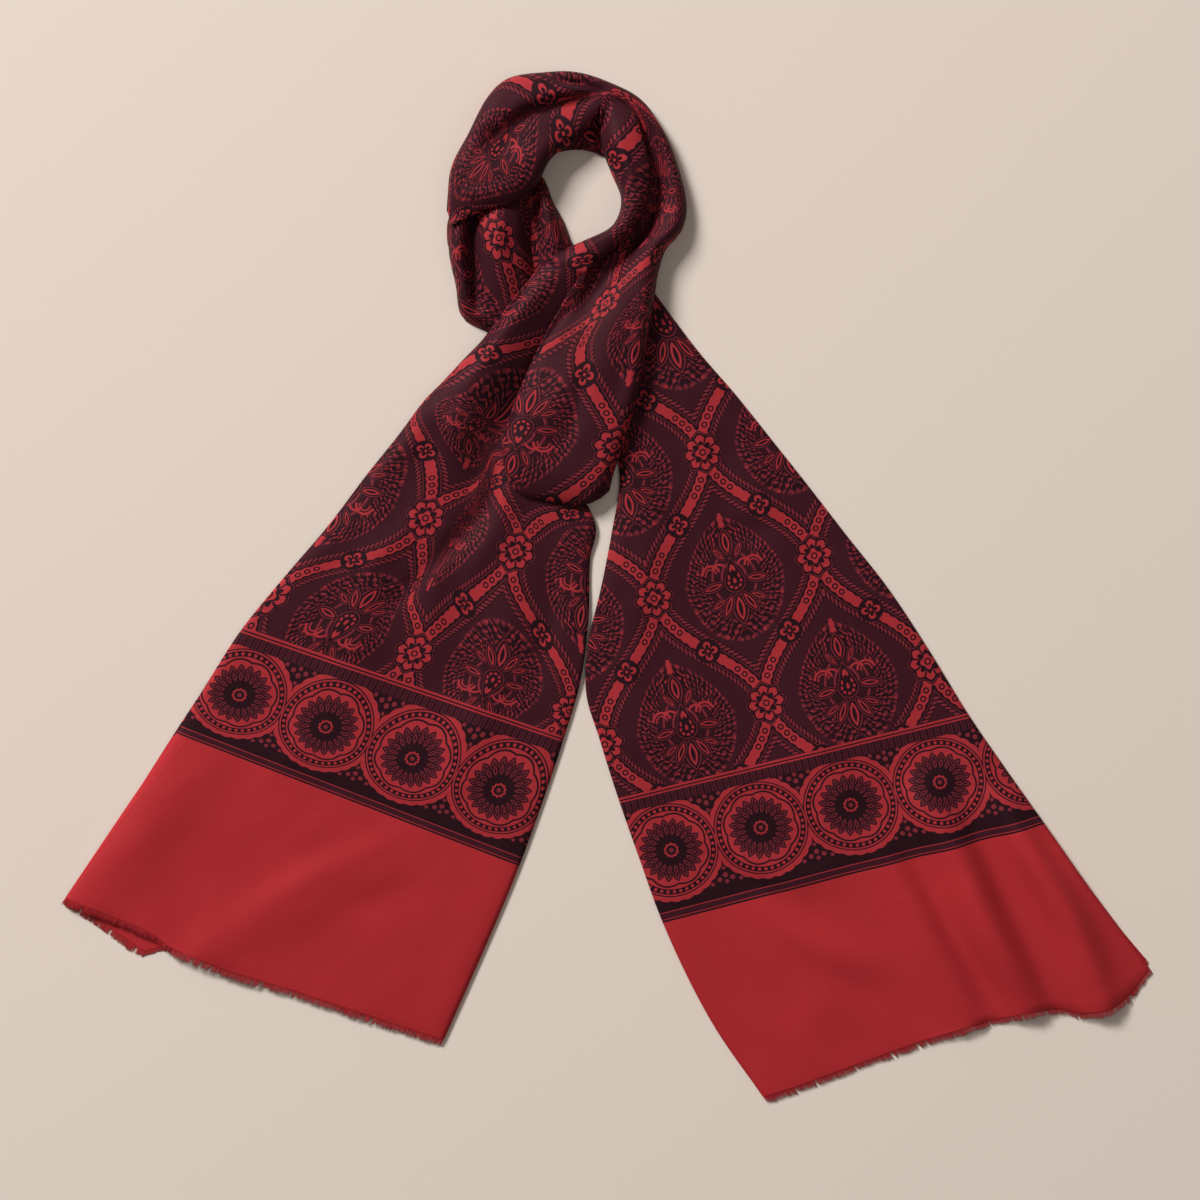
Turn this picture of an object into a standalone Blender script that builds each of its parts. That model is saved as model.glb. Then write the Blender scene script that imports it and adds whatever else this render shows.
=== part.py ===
"""A double-sided scarf laid flat in an open loop, its two tails crossing below the loop.

The scarf is a tube of two printed silk panels sewn along both long sides, with open frayed ends.
Each stretch of it that shows is a thin wall through sections, a row of a table for each section.
A row gives the section's two ends in plan and the heights of its edges and crests.  Stretches
are laid one on another in the order the real scarf is folded, and the pile keeps them apart.

Lengths in this file are millimetres until a mesh is written, which is in metres, +Z up.
"""

from collections import namedtuple

import bmesh
import bpy
import numpy as np

MM = 0.001
ORIGIN = (-0.46, 0.63, 0.0)  # of the part, under the middle of its box

# Driving dimensions
WALL = 1.0  # cloth, thicker than silk so that each panel is a sound solid
SEAM = 0.3  # between two stretches that meet end to end
CREASE_SEAM = 2.6  # the same under a crease, where their upper sides lean together
LAY = 0.45  # between a panel and what it lies on
TAIL_EDGE_ROUND = 14.0
LOOP_EDGE_ROUND = 13.0
TUCKED_EDGE_ROUND = 8.0
PUFF_ROUND = 14.0
PUFF_RIM = 0.45  # height left at the puff's rim, as a share
BACK_FOLLOWS = 0.55  # share of a fold's height that the hidden panel takes part in
BACK_STAYS_DOWN = 3.0  # lowest fold that lifts the hidden panel
FRONT_CELLS = 6  # of fringe for each column of a panel; every other one has a strand
BACK_CELLS = 4
FRAY = 5.0  # length of the loose threads at both ends
FRAY_STRIP = 1.2
FRAY_WALL = 0.8
FRAY_LIFT = 0.1
END_REACH = 55.0  # how far up a tail the waviness of its end edge is felt
CELL = 2.0  # of the raster that says how high the pile is
STEPS = 3  # sections built for each row of a table
OPEN_SKY = 25.0  # height of a ceiling where nothing lies above
TUCKED_CLEAR = 1.2  # between the tucked layers and the stretches over them

Row = namedtuple(
    "Row", "left_x left_y right_x right_y left_edge left_crest right_crest right_edge"
)
Fold = namedtuple("Fold", "path height left_width right_width")

# From the frayed end up to where it passes under the crossing.
RIGHT_TAIL = (
    Row(101, -331, 350, -244, 0.0, 1.0, 1.5, 0.0),
    Row(68, -283, 317, -202, 0.0, 1.0, 1.5, 0.0),
    Row(36, -218, 283, -154, 0.0, 1.2, 1.5, 0.0),
    Row(21, -177, 257, -117, 0.0, 1.5, 1.5, 0.0),
    Row(7, -137, 233, -82, 0.0, 1.6, 1.5, 0.0),
    Row(-5, -99, 206, -38, 0.0, 1.6, 1.5, 0.0),
    Row(-14, -67, 180, 1, 0.0, 1.6, 1.5, 0.0),
    Row(-12, -34, 154, 34, 0.0, 2.0, 1.6, 0.0),
    Row(-4, 0, 130, 65, 0.0, 2.2, 2.0, 0.0),
    Row(3, 36, 107, 94, 0.2, 3.0, 2.6, 0.0),
    Row(8, 70, 83, 124, 0.5, 4.0, 3.6, 0.0),
    Row(3, 102, 58, 153, 1.0, 4.5, 4.0, 0.0),
    Row(-10, 136, 35, 185, 1.0, 4.0, 4.0, 0.5),
)

# The left tail: from the pinch at the top of the loop, down its right side as the inner band,
# over the crossing, and on to the frayed end.
INNER = (
    Row(-3, 317, 1, 318, 9.0, 10.0, 10.0, 9.0),
    Row(-5, 304, 15, 307, 3.0, 14.0, 14.0, 11.0),
    Row(-4, 287, 22, 291, 1.5, 17.0, 17.5, 12.0),
    Row(2, 270, 26, 272, 1.5, 18.5, 19.0, 12.5),
    Row(9, 251, 25, 252, 1.5, 18.5, 19.5, 12.5),
    Row(3, 234, 17, 233, 1.5, 18.0, 19.0, 12.5),
    Row(-20, 222, 3, 218, 3.0, 16.0, 18.0, 12.0),
    Row(-40, 210, -13, 199, 6.0, 14.0, 17.0, 12.0),
    Row(-60, 187, -28, 174, 5.0, 12.0, 15.0, 11.5),
    Row(-77, 165, -39, 153, 1.5, 10.5, 14.0, 11.0),
    Row(-95, 146, -52, 127, 1.4, 8.0, 11.5, 10.0),
    Row(-108, 132, -67, 104, 1.4, 7.5, 9.0, 8.5),
    Row(-118, 122, -30, 75, 1.4, 7.0, 8.0, 7.0),
    Row(-136, 98, -9, 42, 1.4, 5.0, 6.0, 3.0),
    Row(-156, 73, -12, 18, 1.4, 4.0, 4.0, 1.4),
    Row(-181, 40, -13, -20, 1.4, 3.5, 3.2, 1.4),
    Row(-210, 6, -18, -60, 1.4, 3.0, 3.0, 1.4),
    Row(-237, -27, -29, -98, 1.4, 2.8, 2.8, 1.4),
    Row(-259, -61, -43, -140, 1.4, 2.6, 2.6, 1.4),
    Row(-280, -95, -58, -181, 1.4, 2.6, 2.6, 1.4),
    Row(-317, -150, -82, -238, 1.4, 2.4, 2.4, 1.4),
    Row(-352, -202, -107, -294, 1.4, 2.4, 2.4, 1.4),
)
INNER_APEX, INNER_LOOP_END, INNER_TUCK, INNER_TAIL_START, INNER_END = 0, 6, 11, 13, 21

# The hidden panel of the left tail, on the surface under it.
LEFT_BACK = (
    Row(-160, 66, -16, 10, 0.0, 0.0, 0.0, 0.0),
    Row(-181, 38, -15, -20, 0.0, 0.0, 0.0, 0.0),
    Row(-210, 5, -20, -60, 0.0, 0.0, 0.0, 0.0),
    Row(-259, -61, -45, -140, 0.0, 0.0, 0.0, 0.0),
    Row(-317, -150, -84, -237, 0.0, 0.0, 0.0, 0.0),
    Row(-352, -202, -109, -293, 0.0, 0.0, 0.0, 0.0),
)

# The stretch that rises out of the crossing and makes the left side of the loop.
RISE = (
    Row(-57, 159, -10, 214, 1.4, 5.0, 5.0, 1.4),
    Row(-79, 168, -23, 222, 0.6, 7.0, 7.0, 0.8),
    Row(-92, 177, -29, 237, 0.3, 10.0, 9.0, 0.4),
    Row(-99, 196, -36, 250, 0.3, 12.0, 9.0, 0.4),
    Row(-103, 219, -40, 261, 0.3, 12.0, 9.0, 0.4),
    Row(-101, 237, -43, 266, 0.6, 10.0, 8.0, 0.6),
    Row(-92, 260, -50, 271, 1.4, 8.0, 7.0, 1.4),
)

# Left is the inner side, right the outer: the flap folded over the rise, the top of the loop,
# its right side as the outer band, and the bulge over the crossing, which ends in a puff.
WRAP = (
    Row(-103, 231, -105, 243, 5.0, 9.0, 9.0, 2.0),
    Row(-92, 238, -102, 270, 13.0, 15.0, 15.0, 0.5),
    Row(-77, 244, -90, 295, 14.0, 18.0, 18.0, 0.3),
    Row(-61, 248, -78, 318, 14.0, 19.0, 18.0, 0.3),
    Row(-47, 259, -65, 330, 13.0, 18.5, 17.0, 0.3),
    Row(-37, 277, -41, 334, 11.0, 17.5, 16.0, 0.3),
    Row(-21, 289, -20, 334, 10.5, 16.5, 15.0, 0.3),
    Row(-9, 303, -3, 329, 10.5, 14.0, 13.0, 0.3),
    Row(-1, 315, 16, 320, 9.0, 10.0, 11.0, 0.6),
    Row(16, 300, 34, 299, 6.0, 8.0, 15.0, 0.4),
    Row(18, 274, 45, 274, 5.0, 7.0, 17.0, 0.3),
    Row(17, 250, 51, 247, 5.0, 7.0, 18.0, 0.3),
    Row(8, 229, 48, 232, 5.0, 7.0, 18.5, 0.3),
    Row(-8, 211, 37, 219, 5.5, 7.5, 19.0, 1.0),
    Row(-22, 194, 32, 203, 6.0, 8.5, 20.0, 1.4),
    Row(-37, 169, 30, 190, 6.5, 9.5, 20.5, 1.4),
    Row(-52, 139, 26, 167, 6.5, 10.0, 20.5, 1.4),
    Row(-64, 108, 19, 131, 7.5, 13.0, 19.5, 1.4),
    Row(-68, 88, 8, 96, 9.5, 15.5, 17.5, 1.4),
    Row(-64, 63, -3, 49, 9.0, 15.0, 16.0, 3.0),
)
WRAP_APEX, WRAP_LOOP_END, WRAP_PUFF = 8, 13, 19

# The layers folded up out of sight inside the loop: left is the outer side.
TUCKED = (
    Row(-66, 174, -30, 208, 2.0, 4.0, 4.0, 2.0),
    Row(-84, 184, -41, 230, 2.0, 6.0, 6.0, 2.0),
    Row(-93, 208, -46, 250, 2.0, 7.0, 6.0, 2.0),
    Row(-94, 236, -49, 264, 2.0, 8.0, 6.0, 2.0),
    Row(-88, 268, -46, 276, 2.0, 10.0, 7.0, 2.0),
    Row(-72, 300, -37, 281, 3.0, 11.0, 8.0, 3.0),
    Row(-48, 322, -26, 284, 3.0, 11.0, 8.0, 3.0),
    Row(-18, 325, -15, 284, 3.0, 10.0, 8.0, 3.0),
    Row(8, 314, -5, 281, 3.0, 9.0, 8.0, 3.0),
    Row(26, 296, 3, 276, 3.0, 9.0, 7.0, 3.0),
    Row(37, 270, 12, 262, 3.0, 10.0, 7.0, 2.0),
    Row(40, 246, 14, 248, 3.0, 10.0, 7.0, 2.0),
    Row(32, 229, 8, 236, 3.0, 10.0, 7.0, 2.0),
    Row(16, 214, -8, 224, 3.0, 9.0, 6.0, 2.0),
)

# Folds: a path in plan, the height at its middle, and how wide it falls off on each side of it.
# A fold starts and ends at part of its height, a sine's from FOLD_FADE of half a turn.
FOLD_FADE = 0.15
RIGHT_TAIL_FOLDS = (
    Fold(((268, -140), (300, -214), (322, -284)), 9.0, 20.0, 26.0),
    Fold(((196, -172), (236, -226), (270, -292)), 3.2, 24.0, 20.0),
    Fold(((40, -160), (80, -190), (120, -215)), 1.6, 16.0, 16.0),
    Fold(((120, -60), (150, -120), (160, -170)), 1.4, 26.0, 26.0),
    Fold(((84, 118), (96, 60), (128, 0)), 1.6, 16.0, 16.0),
    Fold(((30, 60), (20, -10), (14, -80)), 1.6, 14.0, 16.0),
)
LEFT_TAIL_FOLDS = (
    Fold(((-262, -232), (-210, -202), (-135, -166)), 3.4, 16.0, 20.0),
    Fold(((-338, -202), (-308, -170), (-268, -120)), 2.6, 18.0, 22.0),
    Fold(((-150, 80), (-150, 20), (-170, -60)), 2.2, 18.0, 18.0),
    Fold(((-60, 10), (-74, -60), (-100, -130)), 2.0, 16.0, 18.0),
    Fold(((-104, 70), (-112, 10), (-120, -60)), 1.8, 12.0, 14.0),
)
RISE_FOLDS = (
    Fold(((-99, 240), (-98, 206), (-90, 180)), 4.0, 8.0, 7.0),
    Fold(((-86, 240), (-87, 206), (-78, 178)), -7.0, 6.0, 6.0),
    Fold(((-66, 246), (-68, 213), (-56, 188)), 3.5, 11.0, 11.0),
    Fold(((-46, 256), (-47, 230), (-42, 208)), -5.5, 6.0, 6.0),
)
WRAP_FOLDS = (
    Fold(((-70, 298), (-35, 308), (-4, 318)), -3.5, 7.0, 5.0),
    Fold(((-40, 325), (-18, 322), (-6, 319)), -6.0, 6.0, 4.0),
    Fold(((-88, 262), (-60, 268), (-38, 284)), 1.5, 12.0, 12.0),
    Fold(((-44, 104), (-14, 130), (6, 168)), 1.5, 12.0, 12.0),
)
NO_FOLDS = ()

# How far the cloth's end edge stands out from the straight line between its corners.
End = namedtuple("End", "across reach")
RIGHT_END = (
    End(0.0, 0.0), End(0.08, 0.5), End(0.25, -1.0), End(0.40, -2.4), End(0.56, -2.0),
    End(0.70, 2.0), End(0.76, 6.0), End(0.80, 13.0), End(0.87, 16.0), End(0.93, 11.0), End(1.0, 0.0),
)
LEFT_END = (
    End(0.0, 0.0), End(0.20, 0.5), End(0.25, 2.5), End(0.29, 6.0), End(0.44, 7.0),
    End(0.62, 3.8), End(0.80, 2.0), End(1.0, 0.0),
)
RIGHT_BACK_END = (
    End(0.0, -3.0), End(0.25, -4.0), End(0.56, -5.0), End(0.70, -1.0), End(0.80, 8.0), End(0.87, 11.0),
    End(0.93, 6.0), End(1.0, -3.0),
)
LEFT_BACK_END = (
    End(0.0, -1.0), End(0.12, 7.5), End(0.23, 15.0), End(0.27, 7.0), End(0.32, 2.0),
    End(0.44, 3.0), End(0.62, 0.5), End(1.0, -3.0),
)
STRAIGHT_END = (End(0.0, 0.0), End(1.0, 0.0))


def curve(knots, values, at):
    """A smooth curve through values at knots, read at other places."""
    slopes = np.gradient(values, knots, axis=0)
    k = np.clip(np.searchsorted(knots, at, side="right") - 1, 0, len(knots) - 2)
    span = knots[k + 1] - knots[k]
    u = ((at - knots[k]) / span)[:, None]
    span = span[:, None]
    return (
        (1 + 2 * u) * (1 - u) ** 2 * values[k]
        + u * (1 - u) ** 2 * span * slopes[k]
        + u * u * (3 - 2 * u) * values[k + 1]
        + u * u * (u - 1) * span * slopes[k + 1]
    )


def rounded(distance, radius):
    """0 at an edge, 1 from one radius inside it, with a quarter circle between."""
    u = np.clip(distance / radius, 0, 1)
    return np.sqrt(1 - (1 - u) ** 2)


def fold_height(folds, x, y):
    """Sum of the folds' heights at points of the plan."""
    total = np.zeros_like(x)
    for fold in folds:
        path = np.array(fold.path, float)
        lengths = np.linalg.norm(np.diff(path, axis=0), axis=1)
        starts = np.concatenate([[0], np.cumsum(lengths)])
        nearest = np.full(x.shape, np.inf)
        side = np.zeros_like(x)
        along = np.zeros_like(x)
        for start, end, begun, length in zip(path[:-1], path[1:], starts, lengths):
            dx, dy = (end - start) / length
            u = np.clip((x - start[0]) * dx + (y - start[1]) * dy, 0, length)
            away = np.hypot(x - start[0] - u * dx, y - start[1] - u * dy)
            closer = away < nearest
            nearest = np.where(closer, away, nearest)
            side = np.where(closer, dx * (y - start[1]) - dy * (x - start[0]), side)
            along = np.where(closer, (begun + u) / starts[-1], along)
        width = np.where(side > 0, fold.left_width, fold.right_width)
        fade = np.sin(np.pi * (FOLD_FADE + (1 - 2 * FOLD_FADE) * along))
        total += fold.height * np.exp(-((nearest / width) ** 2)) * fade
    return total


class Stretch:
    """A surface through the sections of a table, in plan and height."""

    def __init__(self, rows, across, edge_round, folds=NO_FOLDS, end=STRAIGHT_END, end_round=0.0):
        table = np.array(rows, float)
        middle = (table[:, 0:2] + table[:, 2:4]) / 2
        steps = np.linalg.norm(np.diff(middle, axis=0), axis=1)
        self.knots = np.concatenate([[0], np.cumsum(steps)])
        at = np.arange(STEPS * (len(rows) - 1) + 1) / STEPS
        self.s = np.interp(at, np.arange(len(rows)), self.knots)
        self.t = np.linspace(0, 1, across + 1)
        self.table = table
        self.edge_round = edge_round
        self.folds = folds
        self.end = end
        self.end_round = end_round

    def plan_and_form(self, s, t):
        """Plan position and free height of the underside on a grid of s and t."""
        rows = curve(self.knots, self.table, s)
        left, right = rows[:, None, 0:2], rows[:, None, 2:4]
        width = np.linalg.norm(right - left, axis=2)
        plan = left + (right - left) * t[None, :, None]
        from_end = self.knots[-1] - s
        reach = np.interp(t, [e.across for e in self.end], [e.reach for e in self.end])
        pull = np.clip(1 - from_end / END_REACH, 0, 1)[:, None] ** 2
        across = (right - left) / width[..., None]
        outward = np.stack([across[..., 1], -across[..., 0]], axis=-1)
        last = (self.table[-1, 0:4] - self.table[-2, 0:4]).reshape(2, 2).sum(axis=0)
        outward = outward * np.sign((outward[-1, 0] @ last))
        plan = plan + outward * (reach[None, :] * pull)[..., None]
        crest = rows[:, None, 5] + (rows[:, None, 6] - rows[:, None, 5]) * t[None, :]
        from_left, from_right = width * t[None, :], width * (1 - t[None, :])
        radius = np.minimum(self.edge_round, width * 0.5)
        left_side = rows[:, None, 4] + (crest - rows[:, None, 4]) * rounded(from_left, radius)
        right_side = rows[:, None, 7] + (crest - rows[:, None, 7]) * rounded(from_right, radius)
        height = np.minimum(left_side, right_side)
        near_edge = np.minimum(rounded(from_left, radius), rounded(from_right, radius))
        height = height + fold_height(self.folds, plan[..., 0], plan[..., 1]) * near_edge
        if self.end_round:
            rim = rounded(from_end, self.end_round)[:, None]
            height = height * (PUFF_RIM + (1 - PUFF_RIM) * rim)
        return plan, height

    def grid(self, s, t, pile=None):
        """Points of the underside, lifted onto the pile where it is higher than the form."""
        plan, height = self.plan_and_form(s, t)
        if pile is not None:
            height = np.maximum(height, pile.under(plan[..., 0], plan[..., 1]) + LAY)
        return np.dstack([plan, height])

    def rest_on(self, pile):
        """Fix the heights over the pile as it is now, for every piece cut from this stretch."""
        self.points = self.grid(self.s, self.t, pile)

    def cut(self, first, last, gap=SEAM):
        """Grid of the underside between two rows of the table, half a gap short at each cut."""
        points = self.points[STEPS * first : STEPS * last + 1].copy()
        if first:
            points[0] += unit(points[1] - points[0]) * gap / 2
        if STEPS * last < len(self.s) - 1:
            points[-1] += unit(points[-2] - points[-1]) * gap / 2
        return points


def unit(vectors):
    """Vectors made one long."""
    return vectors / np.linalg.norm(vectors, axis=-1, keepdims=True)


class Pile:
    """A raster of how high the layers laid so far reach."""

    def __init__(self, ground, west=-380, south=-360, east=380, north=360):
        self.west, self.south = west, south
        self.top = np.full((int((east - west) / CELL), int((north - south) / CELL)), ground)
        self.smooth = self.top

    def add(self, points, thickness=WALL, spread=2):
        """Lay a grid of points, and round off the steps at its edges for what lies on it."""
        fine = refined(points, CELL * 0.7)
        i = ((fine[:, 0] - self.west) / CELL).astype(int)
        j = ((fine[:, 1] - self.south) / CELL).astype(int)
        np.maximum.at(self.top, (i, j), fine[:, 2] + thickness)
        wide = self.top
        for _ in range(spread):
            wide = neighbours(wide, np.maximum)
        soft = wide
        for _ in range(spread):
            soft = neighbours(soft, np.add) / 9
        self.smooth = np.maximum(soft, neighbours(self.top, np.maximum))

    def under(self, x, y):
        """Height that a wall over this place has to clear."""
        return sampled(self.smooth, x, y, self.west, self.south)


def neighbours(raster, join):
    """Each cell joined with the eight round it."""
    padded = np.pad(raster, 1, mode="edge")
    total = None
    for i in range(3):
        for j in range(3):
            part = padded[i : i + raster.shape[0], j : j + raster.shape[1]]
            total = part.copy() if total is None else join(total, part)
    return total


def sampled(raster, x, y, west, south):
    """A raster read between its cells' middles."""
    u = np.clip((x - west) / CELL - 0.5, 0, raster.shape[0] - 1.001)
    v = np.clip((y - south) / CELL - 0.5, 0, raster.shape[1] - 1.001)
    i, j = u.astype(int), v.astype(int)
    u, v = u - i, v - j
    return (
        raster[i, j] * (1 - u) * (1 - v)
        + raster[i + 1, j] * u * (1 - v)
        + raster[i, j + 1] * (1 - u) * v
        + raster[i + 1, j + 1] * u * v
    )


def refined(points, spacing):
    """Points of a grid's cells, no further apart than spacing."""
    steps_s = np.linalg.norm(np.diff(points, axis=0), axis=2).max()
    steps_t = np.linalg.norm(np.diff(points, axis=1), axis=2).max()
    found = []
    for u in np.linspace(0, 1, int(steps_s / spacing) + 2):
        rows = points[:-1] * (1 - u) + points[1:] * u
        for v in np.linspace(0, 1, int(steps_t / spacing) + 2):
            found.append((rows[:, :-1] * (1 - v) + rows[:, 1:] * v).reshape(-1, 3))
    return np.concatenate(found)


def metres(point):
    """A point in millimetres as metres from the part's origin."""
    return (np.array(point) - ORIGIN) * MM


def material(name, colour, roughness):
    """A cloth colour as a Principled material."""
    made = bpy.data.materials.new(name)
    made.use_nodes = True
    shader = made.node_tree.nodes["Principled BSDF"]
    shader.inputs["Base Color"].default_value = (*colour, 1.0)
    shader.inputs["Roughness"].default_value = roughness
    shader.inputs["Metallic"].default_value = 0.0
    return made


def place(name, bm, collection, look):
    """Write a bmesh as one named object, shaded smooth."""
    mesh = bpy.data.meshes.new(name)
    bm.to_mesh(mesh)
    bm.free()
    mesh.shade_smooth()
    piece = bpy.data.objects.new(name, mesh)
    piece.data.materials.append(look)
    collection.objects.link(piece)
    return piece


def thicken(piece, wall):
    """Give a one-sided surface its wall, on the side that its faces point to."""
    solid = piece.modifiers.new("Wall", "SOLIDIFY")
    solid.thickness = wall * MM
    solid.offset = 1.0
    solid.use_rim = True


def face_up(bm):
    """Turn a one-sided surface so that most of it faces up."""
    bm.normal_update()
    if sum(face.normal.z for face in bm.faces) < 0:
        bmesh.ops.reverse_faces(bm, faces=bm.faces[:])


def panel(name, points, collection, look):
    """A wall of cloth whose underside is a grid of points."""
    rows, columns = points.shape[:2]
    bm = bmesh.new()
    bmesh.ops.create_grid(bm, x_segments=columns - 1, y_segments=rows - 1, size=0.5)
    for vert in bm.verts:
        i = round((vert.co.y + 0.5) * (rows - 1))
        j = round((vert.co.x + 0.5) * (columns - 1))
        vert.co = metres(points[i, j])
    face_up(bm)
    thicken(place(name, bm, collection, look), WALL)


def folded_block(name, top, bottom, collection, look):
    """One rounded solid between two grids of points, for layers that are out of sight."""
    rings = np.concatenate([top, bottom[:, ::-1]], axis=1)
    columns, around = top.shape[1], rings.shape[1]
    bm = bmesh.new()
    verts = [[bm.verts.new(metres(point)) for point in ring] for ring in rings]
    for near, far in zip(verts, verts[1:]):
        for j in range(around):
            bm.faces.new((near[j], near[(j + 1) % around], far[(j + 1) % around], far[j]))
    for ring in (verts[0], verts[-1]):
        for j in range(columns - 1):
            bm.faces.new((ring[j], ring[j + 1], ring[around - 2 - j], ring[around - 1 - j]))
    bmesh.ops.recalc_face_normals(bm, faces=bm.faces[:])
    place(name, bm, collection, look)


def frayed_edge(name, points, cells_a_column, collection, look):
    """A comb of loose threads along a panel's end: a narrow strip with a strand on every other cell."""
    cells = (points.shape[1] - 1) * cells_a_column
    at = np.linspace(0, points.shape[1] - 1, cells + 1)
    columns = np.arange(points.shape[1])
    edge = np.stack([np.interp(at, columns, points[-1, :, k]) for k in range(3)], axis=1)
    along = unit(np.gradient(edge[:, :2], axis=0))
    outward = np.stack([along[:, 1], -along[:, 0]], axis=1)
    outward *= np.sign(np.sum(outward[0] * (points[-1, 0, :2] - points[-2, 0, :2])))
    edge[:, 2] += FRAY_LIFT

    def moved(index, distance):
        x, y = edge[index, :2] + outward[index] * distance
        return metres((x, y, edge[index, 2]))

    bm = bmesh.new()
    roots = [bm.verts.new(moved(k, SEAM)) for k in range(cells + 1)]
    hems = [bm.verts.new(moved(k, SEAM + FRAY_STRIP)) for k in range(cells + 1)]
    for k in range(cells):
        bm.faces.new((roots[k], hems[k], hems[k + 1], roots[k + 1]))
    for k in range(1, cells, 2):
        wave = 0.75 + 0.25 * np.sin(k * 1.2) * np.cos(k * 0.35)
        point = bm.verts.new((moved(k, FRAY * wave) + moved(k + 1, FRAY * wave)) / 2)
        bm.faces.new((hems[k], point, hems[k + 1]))
    face_up(bm)
    thicken(place(name, bm, collection, look), FRAY_WALL)


def main():
    for leftover in list(bpy.data.objects):
        bpy.data.objects.remove(leftover, do_unlink=True)
    scarf = bpy.data.collections.new("double_sided_scarf")
    bpy.context.scene.collection.children.link(scarf)
    printed = material("printed_silk", (0.055, 0.010, 0.016), 0.55)
    plain = material("plain_red_silk", (0.370, 0.025, 0.032), 0.5)

    # The right tail: its hidden panel on the surface, its printed panel on that.
    right_rows = RIGHT_TAIL[::-1]
    right_back = Stretch(right_rows, 14, TAIL_EDGE_ROUND, RIGHT_TAIL_FOLDS[:1], RIGHT_BACK_END)
    flat = right_back.grid(right_back.s, right_back.t)
    flat[..., 2] = np.maximum(0.0, BACK_FOLLOWS * (flat[..., 2] - BACK_STAYS_DOWN))
    panel("right_tail_back", flat, scarf, printed)
    frayed_edge("right_fringe_back", flat, BACK_CELLS, scarf, plain)
    pile = Pile(-LAY)
    pile.add(flat)
    right_front = Stretch(right_rows, 16, TAIL_EDGE_ROUND, RIGHT_TAIL_FOLDS, RIGHT_END)
    right_front.rest_on(pile)
    panel("right_tail_front", right_front.points, scarf, printed)
    frayed_edge("right_fringe_front", right_front.points, FRONT_CELLS, scarf, plain)
    pile.add(right_front.points)

    # The left tail's hidden panel.
    left_back = Stretch(LEFT_BACK, 14, TAIL_EDGE_ROUND, NO_FOLDS, LEFT_BACK_END)
    flat = left_back.grid(left_back.s, left_back.t)
    panel("left_tail_back", flat, scarf, printed)
    frayed_edge("left_fringe_back", flat, BACK_CELLS, scarf, plain)
    pile.add(flat)

    # What rises into the loop, then the left tail, which the puff of the crossing lies on.
    floor_layers = Pile(-LAY)
    floor_layers.add(right_front.points)
    rise = Stretch(RISE, 14, LOOP_EDGE_ROUND, RISE_FOLDS)
    rise.rest_on(pile)
    panel("loop_left", rise.points, scarf, printed)
    pile.add(rise.points)
    inner = Stretch(INNER, 14, TAIL_EDGE_ROUND, LEFT_TAIL_FOLDS, LEFT_END)
    inner.rest_on(pile)
    tuck = STEPS * INNER_TUCK
    pile.add(inner.points[tuck:])

    # The flap, the top, the outer band and the bulge, then the inner band laid along them.
    wrap = Stretch(WRAP, 12, LOOP_EDGE_ROUND, WRAP_FOLDS, STRAIGHT_END, PUFF_ROUND)
    wrap.rest_on(pile)
    pile.add(wrap.points)
    inner.points[:tuck] = inner.grid(inner.s[:tuck], inner.t, pile)
    panel("loop_top", wrap.cut(0, WRAP_APEX, CREASE_SEAM), scarf, printed)
    panel("loop_right_outer", wrap.cut(WRAP_APEX, WRAP_LOOP_END, CREASE_SEAM), scarf, printed)
    panel("crossing_outer", wrap.cut(WRAP_LOOP_END, WRAP_PUFF, CREASE_SEAM), scarf, printed)
    panel("loop_right_inner", inner.cut(INNER_APEX, INNER_LOOP_END), scarf, printed)
    panel("crossing_inner", inner.cut(INNER_LOOP_END, INNER_TAIL_START), scarf, printed)
    panel("left_tail_front", inner.cut(INNER_TAIL_START, INNER_END), scarf, printed)
    frayed_edge("left_fringe_front", inner.points, FRONT_CELLS, scarf, plain)

    # The layers folded up out of sight fill what lies under the stretches that show.
    ceiling = Pile(-OPEN_SKY)
    for stretch in (rise, wrap, inner):
        ceiling.add(stretch.points * (1, 1, -1), 0.0)
    tucked = Stretch(TUCKED, 6, TUCKED_EDGE_ROUND)
    bottom = tucked.grid(tucked.s, tucked.t)
    top = bottom.copy()
    bottom[..., 2] = floor_layers.under(bottom[..., 0], bottom[..., 1]) + LAY
    room = -ceiling.under(top[..., 0], top[..., 1]) - TUCKED_CLEAR
    top[..., 2] = np.maximum(np.minimum(top[..., 2], room), bottom[..., 2] + WALL)
    folded_block("tucked_layers", top, bottom, scarf, printed)


main()
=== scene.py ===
"""The looks of a double-sided printed silk scarf, laid flat in an open loop with its tails crossing.

Each stretch that shows is a thin silk shell on the form of its CAD wall, with more creases.  Its
UVs are places on the flat cloth in metres: U across it, V from the right tail's end.  The print, a
traditional ogee lattice with a border of roundels, is worked out from them.

Lengths are millimetres until a mesh is written in metres, +Z up.
"""

from collections import namedtuple

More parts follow.
